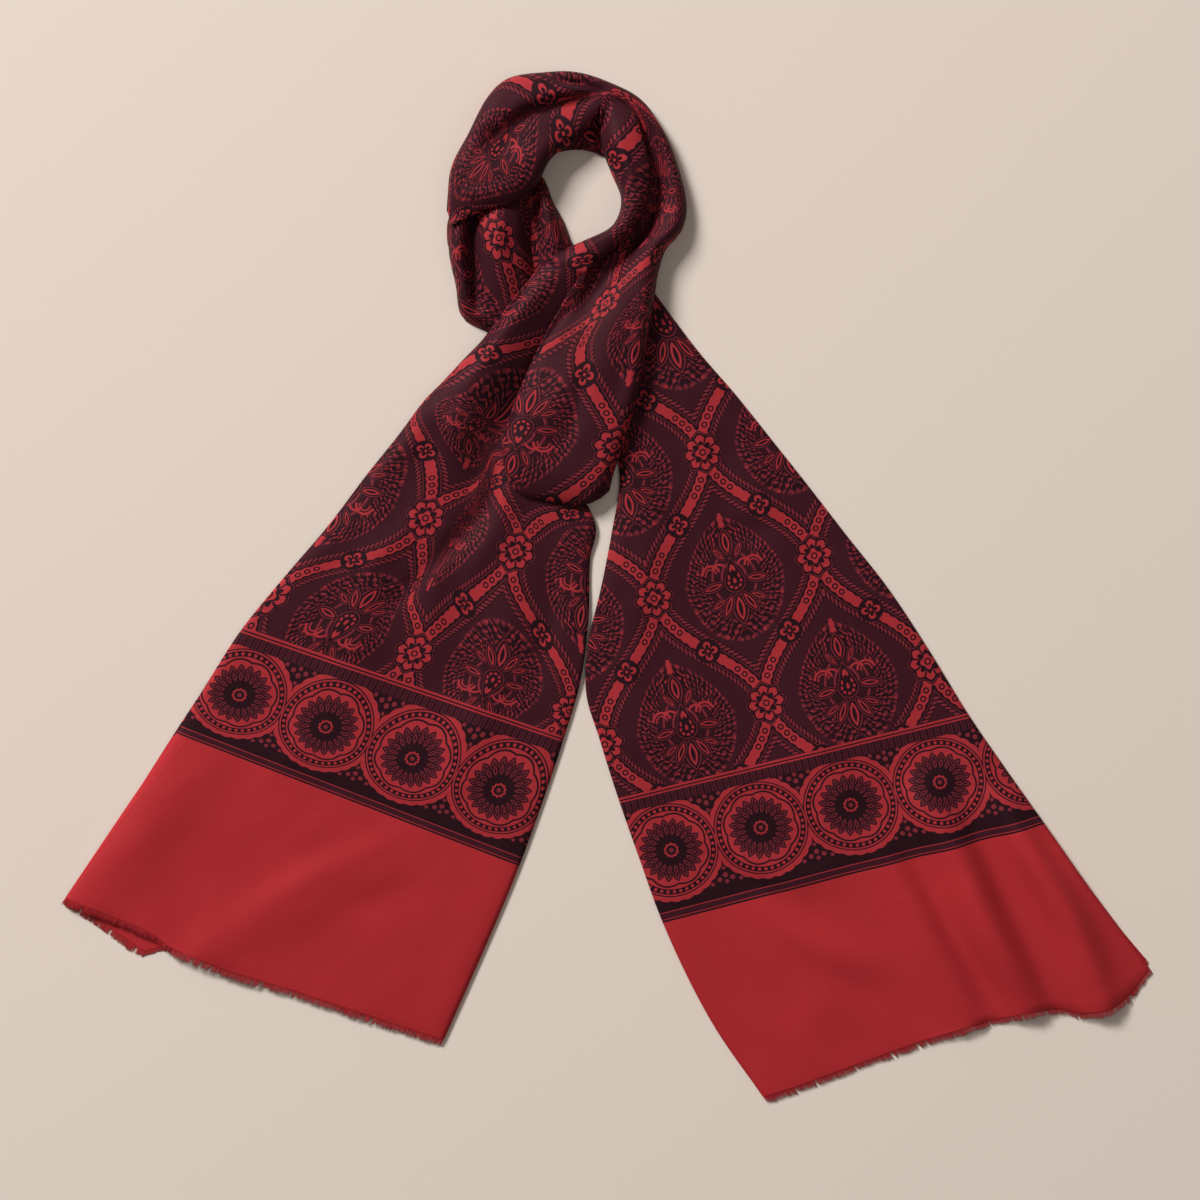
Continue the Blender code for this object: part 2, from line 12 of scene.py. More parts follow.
import bpy
import numpy as np
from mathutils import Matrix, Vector

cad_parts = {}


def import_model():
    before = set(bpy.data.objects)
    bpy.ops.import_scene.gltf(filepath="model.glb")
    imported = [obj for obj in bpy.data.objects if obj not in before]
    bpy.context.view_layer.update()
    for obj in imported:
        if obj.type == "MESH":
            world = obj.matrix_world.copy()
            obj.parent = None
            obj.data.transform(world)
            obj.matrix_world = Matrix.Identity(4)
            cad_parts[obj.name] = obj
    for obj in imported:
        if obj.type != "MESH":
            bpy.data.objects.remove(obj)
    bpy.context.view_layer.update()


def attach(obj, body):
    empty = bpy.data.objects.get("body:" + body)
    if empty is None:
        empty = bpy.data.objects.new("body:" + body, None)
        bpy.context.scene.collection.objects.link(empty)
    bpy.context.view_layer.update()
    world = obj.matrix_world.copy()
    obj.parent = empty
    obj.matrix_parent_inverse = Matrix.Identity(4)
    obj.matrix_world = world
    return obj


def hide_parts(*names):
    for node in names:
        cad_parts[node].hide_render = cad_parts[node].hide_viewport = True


MM = 0.001
ORIGIN = (-0.46, 0.63, 0)  # of the part, under the middle of its box

# The cloth
SILK = 0.5  # thickness of a shell
SILK_LIFT = 0.25  # of a shell's underside over the CAD wall's
WALL = 0.8  # room that a layer takes in the pile
LAY = 0.3  # between a panel and what it lies on
CUT_WIDTH = 270
CUT_LENGTH = 1426
WEAVE = 0.55  # pitch of the threads
STITCH = 2.4  # length of a stitch in the seams along both long edges
SEAM = (1.5, 2.0)  # where its stitches lie, from the edge

# Form, as in the CAD model
TAIL_EDGE_ROUND = 14
LOOP_EDGE_ROUND = 13
TUCKED_EDGE_ROUND = 8
PUFF_ROUND = 14
PUFF_RIM = 0.45  # height left at the puff's rim, as a share
BACK_FOLLOWS = 0.55  # share of a fold's height that the hidden panel follows
BACK_STAYS_DOWN = 3  # lowest fold that lifts the hidden panel
END_REACH = 55  # how far up a tail its end's waviness is felt
STEPS = 10  # sections built for each row of a table
RIM = 0.3  # width of the last section before an end, for a crisp rim
RIPPLE = 0.35  # height of the cloth's slight unevenness
SMOOTHINGS = 6  # of a stretch that rests on others
TUCK_BLUR = 0.012  # width of a crease that hides cloth, as a share

# Steps across the grids
RIGHT_STEPS = 90
BACK_STEPS = 56
RISE_STEPS = 60
INNER_STEPS = 84
WRAP_STEPS = 80
TUCKED_STEPS = 12
LAYER_STEPS = 16  # across each of the tucked layers

# The raster that says how high the pile is
CELL = 2
WEST, EAST = -380, 380
SOUTH, NORTH = -360, 360
SPREAD = 2  # cells over which a layer's edges are rounded off
OPEN_SKY = 25  # ceiling where nothing lies above

# Long edges that curl under
ROLL = 2.2  # radius, where there is room for it
LEAST_ROLL = 0.05
ROLL_ROOM = 1.9  # height that a curl needs, in radii
ROLL_STEPS = 5
CURL_TURN = np.radians(125)
CURL_FLOOR = 0.35  # lowest point of a curled edge, whose thickness goes down from there

# A section of a stretch, as the tables below list it: its edges in plan, its heights at them and
# at the crests beside them, their places on the cloth, and where how much cloth a crease hides.
Row = namedtuple(
    "Row",
    "left_x left_y right_x right_y left_edge left_crest right_crest right_edge"
    " left_u left_v right_u right_v tuck_at tuck",
    defaults=(0, 0, 0, 0, 0.5, 0),
)

# The right tail, from under the crossing down to the frayed end.
RIGHT_TAIL = (
    (-12, 140, 26, 196, 1, 4, 4, 0.5, 53, 493, 109, 529),
    (3, 102, 58, 153, 1, 4.5, 4, 0, 55, 457, 122, 492),
    (8, 70, 83, 124, 0.5, 4, 3.6, 0, 52, 425, 138, 458),
    (3, 36, 107, 94, 0.2, 3, 2.6, 0, 39, 393, 154, 423),
    (-4, 0, 130, 65, 0, 2.2, 2, 0, 23, 360, 169, 389),
    (-12, -34, 154, 34, 0, 2, 1.6, 0, 7, 329, 185, 352),
    (-14, -67, 180, 1, 0, 1.6, 1.5, 0, -1, 297, 202, 315),
    (-5, -99, 206, -38, 0, 1.6, 1.5, 0, -2, 264, 217, 270),
    (7, -137, 233, -82, 0, 1.6, 1.5, 0, 0, 223, 233, 223),
    (21, -177, 257, -117, 0, 1.5, 1.5, 0, 3, 181, 247, 181),
    (36, -218, 283, -154, 0, 1.2, 1.5, 0, 8, 137, 263, 137),
    (68, -283, 317, -202, 0, 1, 1.5, 0, 6, 64, 266, 72),
    (101, -331, 350, -244, 0, 1, 1.5, 0, 2, 4, 268, 6),
)

# The left tail, with V from its own end: from the pinch at the top of the loop, down its right side
# as the inner band, over the crossing and on to the frayed end.
INNER = (
    (-3, 317, 1, 318, 9, 10, 10, 9, 246, 660, 236, 660),
    (-5, 304, 15, 307, 3, 14, 14, 11, 252, 649, 228, 649),
    (-4, 287, 22, 291, 1.5, 17, 17.5, 12, 252, 633, 226, 633),
    (2, 270, 26, 272, 1.5, 18.5, 19, 12.5, 252, 615, 227, 615),
    (9, 251, 25, 252, 1.5, 18.5, 19.5, 12.5, 254, 596, 229, 596),
    (3, 234, 17, 233, 1.5, 18, 19, 12.5, 258, 575, 232, 575),
    (-20, 222, 3, 218, 3, 16, 18, 12, 261, 551, 234, 551),
    (-40, 210, -16, 201.5, 6, 14, 16, 9, 262, 527, 232, 527),
    (-60, 187, -21, 171, 5, 13, 11.5, 4, 258, 497, 214, 497),
    (-77, 165, -31, 150.5, 1.4, 12, 9.5, 2.8, 256, 468, 206, 468),
    (-95, 146, -45, 124, 1.4, 12, 8, 2.2, 260, 441, 205, 441),
    (-108, 132, -55, 98, 1.4, 12.5, 6, 2, 264, 427, 198, 427),
    (-118, 122, -30, 75, 1.4, 12.5, 5, 2, 264, 409, 138, 409, 0.46, 0),
    (-136, 98, -9, 42, 1.4, 9, 4.5, 2.4, 266, 370, 65, 370, 0.45, 60),
    (-156, 73, -12, 18, 1.4, 4, 4, 1.4, 264, 339, 61, 339, 0.46, 46),
    (-181, 40, -13, -20, 1.4, 3.5, 3.2, 1.4, 272, 301, 49, 303, 0.42, 42),
    (-210, 6, -18, -60, 1.4, 3, 3, 1.4, 271, 254, 54, 268, 0.36, 10),
    (-237, -27, -29, -98, 1.4, 2.8, 2.8, 1.4, 268, 222, 50, 222, 0.32, 0),
    (-259, -61, -43, -140, 1.4, 2.6, 2.6, 1.4, 274, 184, 43, 184),
    (-280, -95, -58, -181, 1.4, 2.6, 2.6, 1.4, 277, 137, 40, 137),
    (-317, -150, -82, -238, 1.4, 3.6, 3.2, 1.4, 272, 66, 10, 66),
    (-352, -202, -107, -294, 1.4, 3.2, 2.8, 1.4, 268, 4, 2, 4),
)
INNER_TUCK = 7  # its row where it stops lying on the outer band and goes under the bulge

# The hidden panel of the left tail, on the surface under it, with V from its own end.
LEFT_BACK = (
    (-160, 66, -16, 10, 0, 0, 0, 0, 2, 341, 156, 341),
    (-181, 38, -15, -20, 0, 0, 0, 0, 2, 303, 180, 303),
    (-210, 5, -20, -60, 0, 0, 0, 0, 2, 262, 205, 262),
    (-259, -61, -45, -140, 0, 0, 0, 0, 2, 184, 232, 184),
    (-317, -150, -84, -237, 0, 0, 0, 0, 2, 66, 252, 66),
    (-352, -202, -109, -293, 0, 0, 0, 0, 2, 4, 268, 4),
)

# The stretch that rises out of the crossing as the left side of the loop.
RISE = (
    (-57, 159, -10, 214, 1.4, 5, 5, 1.4, 56, 548, 168, 548),
    (-80, 167, -23, 222, 0.6, 7, 7, 0.8, 52, 566, 168, 566),
    (-95, 176, -29, 237, 0.3, 10, 10, 0.4, 50, 580, 168, 580),
    (-99, 196, -36, 250, 0.3, 12, 11, 0.4, 48, 593, 168, 593),
    (-103.5, 219, -40, 261, 0.3, 12, 11, 0.4, 50, 610, 166, 610),
    (-103.5, 238, -43, 266, 0.6, 10, 8, 0.6, 54, 622, 164, 622),
    (-92, 260, -50, 271, 1.4, 8, 7, 1.4, 58, 640, 160, 640),
)

# The flap folded over the rise, the top of the loop, its right side as the outer band, and the
# bulge over the crossing, which ends in a puff.  Left is the inner side, V from the left tail's end.
WRAP = (
    (-101, 233, -104, 244, 5, 9, 9, 2, 138, 800, 60, 797),
    (-92, 238, -102, 270, 13, 15, 15, 0.5, 140, 787, 58, 781),
    (-77, 244, -90, 295, 14, 18, 18, 0.3, 144, 771, 56, 758),
    (-61, 248, -78, 318, 14, 19, 18, 0.3, 147, 755, 54, 735, 0.62, 6),
    (-47, 259, -65, 330, 13, 18.5, 17, 0.3, 143, 737, 60, 718, 0.62, 22),
    (-37, 277, -41, 334, 11, 17.5, 16, 0.3, 141, 719, 65, 694, 0.57, 37),
    (-21, 289, -20, 334, 10.5, 16.5, 15, 0.3, 141, 698, 70, 675, 0.6, 30),
    (-9, 303, -3, 329, 10.5, 14, 13, 0.3, 138, 681, 75, 662, 0.6, 15),
    (-1, 315, 16, 320, 9, 10, 11, 0.6, 132, 665, 76, 649),
    (16, 300, 34, 299, 5, 6, 15, 0.4, 146, 634, 64, 624),
    (18, 274, 45, 274, 3, 4, 18, 0.3, 150, 600, 58, 598),
    (17, 250, 51, 247, 3, 4, 19, 0.3, 150, 572, 56, 575),
    (8, 229, 48, 232, 3, 4, 19, 0.3, 150, 546, 58, 560),
    (-8, 211, 37, 219, 4, 5, 19.5, 1, 152, 518, 62, 545),
    (-22, 194, 32, 203, 5.5, 7, 20, 5, 152, 496, 66, 529),
    (-37, 169, 30, 190, 6.5, 9, 20.5, 8, 144, 470, 66, 514),
    (-52, 139, 26, 167, 6.5, 9.5, 20.5, 9, 124, 446, 48, 488),
    (-64, 108, 20, 129, 6.5, 11.5, 19, 8.5, 119, 416, 44, 454),
    (-68, 88, 11, 95, 6, 12.5, 16.5, 7, 117, 394, 46, 418),
    (-64, 63, -2, 50, 6, 12, 14.5, 3, 106, 372, 44, 371),
)

# The layers folded up out of sight inside the loop: left is the outer side.
TUCKED = (
    (-66, 174, -30, 208, 2, 4, 4, 2),
    (-84, 184, -41, 230, 2, 6, 6, 2),
    (-93, 208, -46, 250, 2, 7, 6, 2),
    (-94, 236, -49, 264, 2, 8, 6, 2),
    (-88, 268, -46, 276, 2, 10, 7, 2),
    (-72, 300, -37, 281, 3, 11, 8, 3),
    (-48, 322, -26, 284, 3, 11, 8, 3),
    (-18, 325, -15, 284, 3, 10, 8, 3),
    (8, 314, -5, 281, 3, 9, 8, 3),
    (26, 296, 3, 276, 3, 9, 7, 3),
    (37, 270, 12, 262, 3, 10, 7, 2),
    (40, 246, 14, 248, 3, 10, 7, 2),
    (32, 229, 8, 236, 3, 10, 7, 2),
    (16, 214, -8, 224, 3, 9, 6, 2),
)
TUCKED_LAYERS = 3
TUCKED_CLEAR = 1.2  # between the tucked layers and the stretches over them
LAYER_DWELL = 0.15  # how much the layers keep level towards their turns and climb between
LAYERS_FROM, LAYERS_REACH = 0.04, 0.9  # of the room's height, where they start and how far they go
TUCKED_U = 120  # cloth across the layers
TUCKED_V = 500  # place along the cloth where they start

# Folds: the height at its middle, how wide it falls off on the left and on the right of its path,
# and the path in plan.  Along it the height follows half a turn's sine without its ends.
FOLD_FADE = 0.15  # what is left out at either end, as a share
RIGHT_BACK_FOLDS = ((9, 20, 26, (268, -140), (300, -214), (322, -284)),)
RIGHT_TAIL_FOLDS = (
    (14.5, 10, 14, (258, -142), (276, -176), (289, -196), (303, -220), (312, -244), (322, -272)),
    (-8, 5, 12, (240, -146), (257, -178), (278, -219), (290, -244), (300, -275), (308, -300)),
    (-5.5, 8, 4.5, (302, -172), (316, -200), (330, -229), (346, -272)),
    (14, 13, 14, (206, -140), (227, -176), (245, -219), (260, -246), (274, -272)),
    (-5.2, 5, 11, (200, -180), (225, -226), (248, -262), (260, -304)),
    (8, 11, 16, (178, -166), (204, -214), (225, -250), (236, -276)),
    (-3.6, 4, 7, (88, -212), (112, -238), (158, -262)),
    (5, 8, 6, (104, -214), (132, -232), (170, -246)),
    (-3.4, 4, 6, (156, -214), (176, -226), (194, -214)),
    (-3, 5, 6, (166, -264), (180, -272), (198, -272)),
    (-3.4, 4.5, 7, (60, -171), (89, -187), (118, -203), (144, -197)),
    (4.2, 11, 6, (56, -162), (84, -178), (116, -194), (142, -190)),
    (1.6, 10, 12, (126, -290), (140, -262), (150, -244)),
    (1.8, 22, 22, (120, -60), (150, -120), (160, -170)),
    (2, 12, 14, (84, 118), (96, 60), (128, 0)),
    (2, 11, 14, (30, 60), (20, -10), (14, -80)),
    (-1.6, 7, 8, (20, 92), (34, 60), (60, 36)),
    (1.5, 8, 9, (70, 112), (60, 84), (64, 50)),
    (-1.8, 5, 7, (66, 32), (90, 36), (112, 42)),
    (-1.8, 5, 7, (124, -20), (140, -32), (156, -46)),
    (-1.6, 9, 11, (170, -20), (196, -58), (214, -100)),
    (1.2, 9, 10, (18, -96), (54, -84), (92, -90)),
)
LEFT_TAIL_FOLDS = (
    (6, 10, 15, (-262, -232), (-210, -202), (-135, -166)),
    (3, 15, 19, (-338, -202), (-308, -170), (-268, -120)),
    (2.4, 15, 15, (-150, 80), (-150, 20), (-170, -60)),
    (2.2, 13, 15, (-60, 10), (-74, -60), (-100, -130)),
    (2, 10, 12, (-104, 70), (-112, 10), (-120, -60)),
    (-3.8, 4, 7, (-252, -224), (-194, -196), (-130, -168)),
    (-3, 5, 9, (-302, -148), (-280, -166), (-262, -192)),
    (-3, 5, 8, (-180, -196), (-155, -204), (-124, -196)),
    (1.5, 10, 12, (-232, -150), (-196, -158), (-160, -150)),
    (1.7, 9, 11, (-128, -268), (-134, -244), (-150, -220)),
    (-3.6, 6, 5, (-67, 84), (-80, 52), (-104, 24), (-137, -7)),
    (2.4, 7, 8, (-62, 60), (-72, 34), (-90, 8)),
    (2, 9, 7, (-120, 60), (-132, 34), (-152, 14)),
    (1.5, 9, 9, (-214, -8), (-186, -30), (-150, -40)),
    (-1.8, 6, 8, (-36, 24), (-36, -20), (-48, -66)),
    (-9, 8, 15, (-20, 186), (-34, 160), (-50, 130), (-66, 104), (-80, 76)),
    (4, 12, 10, (-52, 186), (-70, 158), (-86, 130), (-98, 104), (-104, 78)),
    (1.8, 7, 7, (-118, 116), (-100, 100), (-92, 84)),
    (1.6, 6, 6, (-86, 150), (-60, 176), (-34, 198)),
    (1.6, 4, 5, (4, 290), (14, 268), (18, 246)),
)
RISE_FOLDS = (
    (4, 6, 5, (-100, 244), (-99, 206), (-94, 178)),
    (-13, 4.5, 3.2, (-88, 252), (-89, 214), (-85, 182)),
    (5.5, 8, 7, (-70, 250), (-71, 213), (-64, 184)),
    (-14, 5, 6, (-49, 262), (-48, 228), (-46, 200)),
    (3.5, 3, 3, (-40, 262), (-38, 236), (-30, 214)),
)
WRAP_FOLDS = (
    (-5, 9, 2.6, (-4, 319), (-30, 313), (-52, 306), (-72, 292)),
    (2.8, 5, 7, (-2, 326), (-30, 320), (-56, 312), (-80, 296)),
    (-8, 3.5, 3, (-30, 326), (-18, 325), (-4, 321)),
    (2, 10, 10, (-88, 262), (-60, 268), (-38, 284)),
    (-2.2, 6, 8, (-86, 288), (-68, 284), (-50, 292)),
    (1.8, 5, 7, (-96, 252), (-74, 252), (-50, 262)),
    (-7, 5.5, 7, (23, 300), (33, 276), (33, 252), (25, 232), (7, 208), (-14, 180)),
    (1.5, 5, 6, (24, 312), (42, 290), (48, 262)),
    (-2.6, 5, 5, (40, 268), (42, 250), (36, 230)),
    (2.2, 9, 11, (-46, 108), (-18, 134), (4, 172)),
    (-2.4, 6, 8, (-10, 158), (-18, 126), (-28, 92)),
    (-2, 6, 7, (20, 190), (14, 150), (4, 112)),
    (1.8, 7, 8, (-56, 92), (-44, 78), (-22, 66)),
)

# How far an end edge stands out from the line between its corners: places across, as shares, and
# reaches.
RIGHT_END = (
    (0, 0), (0.08, 0.8), (0.25, 0), (0.4, -0.4), (0.56, 1), (0.7, 5), (0.76, 9), (0.8, 16.5),
    (0.87, 20), (0.93, 16), (1, 4),
)
LEFT_END = ((0, 0), (0.2, 0.5), (0.25, 2.5), (0.29, 6), (0.44, 7), (0.62, 3.8), (0.8, 2), (1, 0))
RIGHT_BACK_END = (
    (0, -3), (0.25, -4), (0.56, -5), (0.7, -1), (0.8, 8), (0.87, 11), (0.93, 6), (1, -3),
)
LEFT_BACK_END = (
    (0, -1), (0.12, 7.5), (0.23, 15), (0.27, 7), (0.32, 2), (0.44, 3), (0.62, 0.5), (1, -3),
)
PUFF_END = (
    (0, -5), (0.06, -1), (0.16, 1.5), (0.4, 2), (0.7, 1), (0.84, -2.5), (0.93, -7), (1, -13),
)
STRAIGHT_END = ((0, 0), (1, 0))

# The print's inks, as steps of one ramp
NAVY, PLUM, DIM, RED, PLAIN = 0.0, 0.25, 0.55, 0.8, 1.0
INKS = (
    (NAVY, (37, 16, 23)),
    (PLUM, (58, 22, 31)),
    (DIM, (118, 39, 48)),
    (RED, (160, 45, 51)),
    (PLAIN, (168, 42, 47)),
)
EDGE_SOFTNESS = 0.35

# The lattice's bands and what lies on them.  Rings and stripes are given as from, to and ink, and
# discs as rings from None.
LATTICE_WIDTH = 108  # between two rosettes of a row
LATTICE_ROW = 84  # between two rows
LATTICE_START = 260
BAND_LENGTH = 1.214  # of a band for each millimetre along the cloth, on average
BAND_SWAY = -2.8  # how far the length strays from that
LEAF_PITCH = 3.1  # of the leaves along a band
LEAF_LINE = 7.4  # of their row, from the band's middle
DOT_PITCH = 5.5
DOT_START = 22  # of their row, from half way along the band
BARS_END = 19.4  # where the bars along a band give way to ringed dots
DOTS_END = 35.6
ROSETTE_RINGS = ((None, 13.2, NAVY), (11.9, 12.5, DIM), (6.6, 10.4, RED))

# The palmette in each cell
PALMETTE_WIDTH = 31.5  # from its middle to its side
PALMETTE_HEIGHT = 40
SHOULDER = 0.00028  # how much it narrows upwards
LEAVES_ROUND = 52  # in each row of its foliage
FOLIAGE_INKS = (0.7, 0.44)
FOLIAGE_PATCH = 4.5  # size of the patches in which its leaves change
BUD_RINGS = ((None, 8, NAVY), (6.5, 7.1, DIM), (3.3, 4.9, RED))
LEAF_RINGS = ((0.86, 1.06, DIM), (0.26, 0.56, RED))
SPEAR = (33.5, 43)  # from and to which height the one on top goes

# Leaves beside its bud: middle, turn from +y, half length and half width.
SIDE_LEAVES = (
    ((14.6, -3.5), 1.72, 8.2, 3),
    ((13, -15), 2.05, 6.5, 2.5),
    ((0, -20.5), 0, 10.5, 5),
    ((7.2, -17.5), 2.62, 9, 3.2),
    ((0, 23.5), 0, 9.5, 4.2),
    ((6.6, 17), 0.55, 6.5, 2.2),
)

# Horns beside the bud: middle of the curve, radius, half width, and how low it goes.
HORNS = (
    ((14.2, 5.2), 5.6, 0.75, 0.5),
    ((14.2, 5.2), 3.4, 0.45, -0.5),
    ((8.4, 6.2), 4.2, 0.7, 2),
)

# The border, from the cloth's end
BORDER_START = 137
FIELD_START = 223
BORDER_LINES = (
    (137, 138.3, NAVY), (138.3, 139, RED), (139, 142.8, PLUM), (142.8, 143.5, RED),
    (143.5, 144.6, NAVY), (219.5, 220.7, RED), (220.7, 221.5, NAVY), (221.5, 223, RED),
)
BOXES = (212.4, 219.5)  # where their row lies
BOX_PITCH = 4.4
BOX_INK = 0.4
ROUNDEL_LINE = 182  # of their middles
ROUNDEL_PITCH = 60
ROUNDEL_START = 24  # of the right tail's row
ROUNDEL_SHIFT = -12  # of the left tail's row from it
ROUNDEL_RINGS = ((29.9, 30.6, NAVY), (25.6, 28.9, NAVY))
ROUNDEL_BEAD_RING = 27.2
BEADS = 42
# Dots between two roundels, from the point half way: place and radius
TREFOIL = (((0, 19.6), 1.2), ((0, 24.4), 1.7), ((4.2, 26.8), 1.6), ((9.2, 28.8), 1.3), ((0, 28.8), 1.4))

# A roundel's rings of leaves: from and to which radius, and how wide a leaf is.
WREATH = ((12.4, 21, 2.5), (9, 17, 2.2))
WREATH_LEAVES = 20
WREATH_RINGS = ((0.22, 0.62, DIM),)

# The silk's shader
SILK_BRIGHTNESS = 0.76  # before its relief, uneven tone and wear add to it
SILK_ROUGHNESS = 0.5
SLUB = (0.5, 26)  # width and length
STITCH_DEPTH = 1.4  # in the relief, as against the weave
TONE_PATCH = (45, 70)  # size of the patches of uneven tone, across and along
SILK_FINISH = {
    "Specular IOR Level": 0.09,
    "Specular Tint": (1.0, 0.62, 0.62, 1.0),
    "Sheen Weight": 0.02,
    "Sheen Roughness": 0.35,
    "Sheen Tint": (1.0, 0.45, 0.45, 1.0),
}
RELIEF_STRENGTH = 0.35
RELIEF_DEPTH = 0.00012  # metres

# Fringe
FRAY = 6.5  # how far threads reach past the cloth, about
FRAY_ROOT = 1.2  # how far a thread starts inside the cloth
THREAD = 0.27  # radius
THREAD_TAPER = 0.4  # share of it lost towards the tip
THREAD_PITCH = 0.42
THREAD_SHIFT = 0.15  # off its even place, at most
THREAD_LEAN = 1.6
THREAD_DROOP = 0.16  # of a tip, at most, as a share of its reach
THREAD_FLOOR = 0.4  # lowest middle of a thread
THREAD_SIDES = 3
THREAD_STEPS = 4
SLITS = 60  # between clumps of threads, more than the end has room for
SLIT_EVERY = (2.5, 38)  # how far apart they are
SLIT_WIDTH = (0.5, 1.6)

# The studio, in metres
FLOOR_HALF = 4
FLOOR_COLOUR = (0.75, 0.65, 0.58, 1.0)
FLOOR_ROUGHNESS = 0.9
SKY_COLOUR = (1.0, 0.94, 0.87, 1.0)
SKY_STRENGTH = 0.19
LIGHTS = (  # name, place, width, watts and colour
    ("key", (-3.6, 4.0, 3.6), 1.9, 525, (1.0, 0.985, 0.965)),
    ("fill", (3.2, -1.8, 4.4), 3.6, 25, (1.0, 0.96, 0.92)),
)

# The camera looks straight down on the middle of the photograph.
VIEW_CENTRE = (-5.2, -8.45)
VIEW_WIDTH = 780
VIEW_HEIGHT = 1700
SENSOR = 36


def curve(knots, values, at):
    """A smooth curve through values at knots, read at other places."""
    slopes = np.gradient(values, knots, axis=0)
    k = np.clip(np.searchsorted(knots, at, side="right") - 1, 0, len(knots) - 2)
    span = knots[k + 1] - knots[k]
    u = ((at - knots[k]) / span)[:, None]
    span = span[:, None]
    return (
        (1 + 2 * u) * (1 - u) ** 2 * values[k]
        + u * (1 - u) ** 2 * span * slopes[k]
        + u * u * (3 - 2 * u) * values[k + 1]
        + u * u * (u - 1) * span * slopes[k + 1]
    )


def unit(vectors):
    """Vectors made one long."""
    return vectors / np.linalg.norm(vectors, axis=-1, keepdims=True)


def run(points, axis=0):
    """How far each point is along its line, or along its row of a grid."""
    steps = np.linalg.norm(np.diff(points, axis=axis), axis=-1)
    return np.cumsum(np.insert(steps, 0, 0, axis=axis), axis=axis)


def rounded(distance, radius):
    """0 at an edge, 1 from one radius inside it, with a quarter circle between."""
    u = np.clip(distance / radius, 0, 1)
    return np.sqrt(1 - (1 - u) ** 2)


def fold_height(folds, x, y):
    """Sum of the folds' heights at points of the plan."""
    total = np.zeros_like(x)
    for height, left_width, right_width, *path in folds:
        path = np.array(path, float)
        steps = np.diff(path, axis=0)
        lengths = np.linalg.norm(steps, axis=1)
        begun = np.cumsum(lengths) - lengths
        dx, dy = (steps / lengths[:, None]).T
        from_x, from_y = x[..., None] - path[:-1, 0], y[..., None] - path[:-1, 1]
        u = np.clip(from_x * dx + from_y * dy, 0, lengths)
        apart = np.hypot(from_x - u * dx, from_y - u * dy)
        side = dx * from_y - dy * from_x
        closest = apart.argmin(axis=-1)[..., None]
        apart, side, along = (
            np.take_along_axis(each, closest, -1)[..., 0] for each in (apart, side, begun + u)
        )
        width = np.where(side > 0, left_width, right_width)
        fade = np.sin(np.pi * (FOLD_FADE + (1 - 2 * FOLD_FADE) * along / lengths.sum()))
        total += height * np.exp(-((apart / width) ** 2)) * fade
    return total


def ripple(x, y):
    """The slight unevenness of cloth that has been folded and handled."""
    return RIPPLE * (
        np.sin(x / 17 + 1.3 * np.sin(y / 31))
        + np.sin(y / 21 - 1.1 * np.sin(x / 37) + 0.7)
        + 0.6 * np.sin((x + y) / 11 + 1.7 * np.sin((x - y) / 43))
        + 0.4 * np.sin((x - 1.6 * y) / 7.3 + 2.1 * np.sin(x / 29 + 0.4))
    )


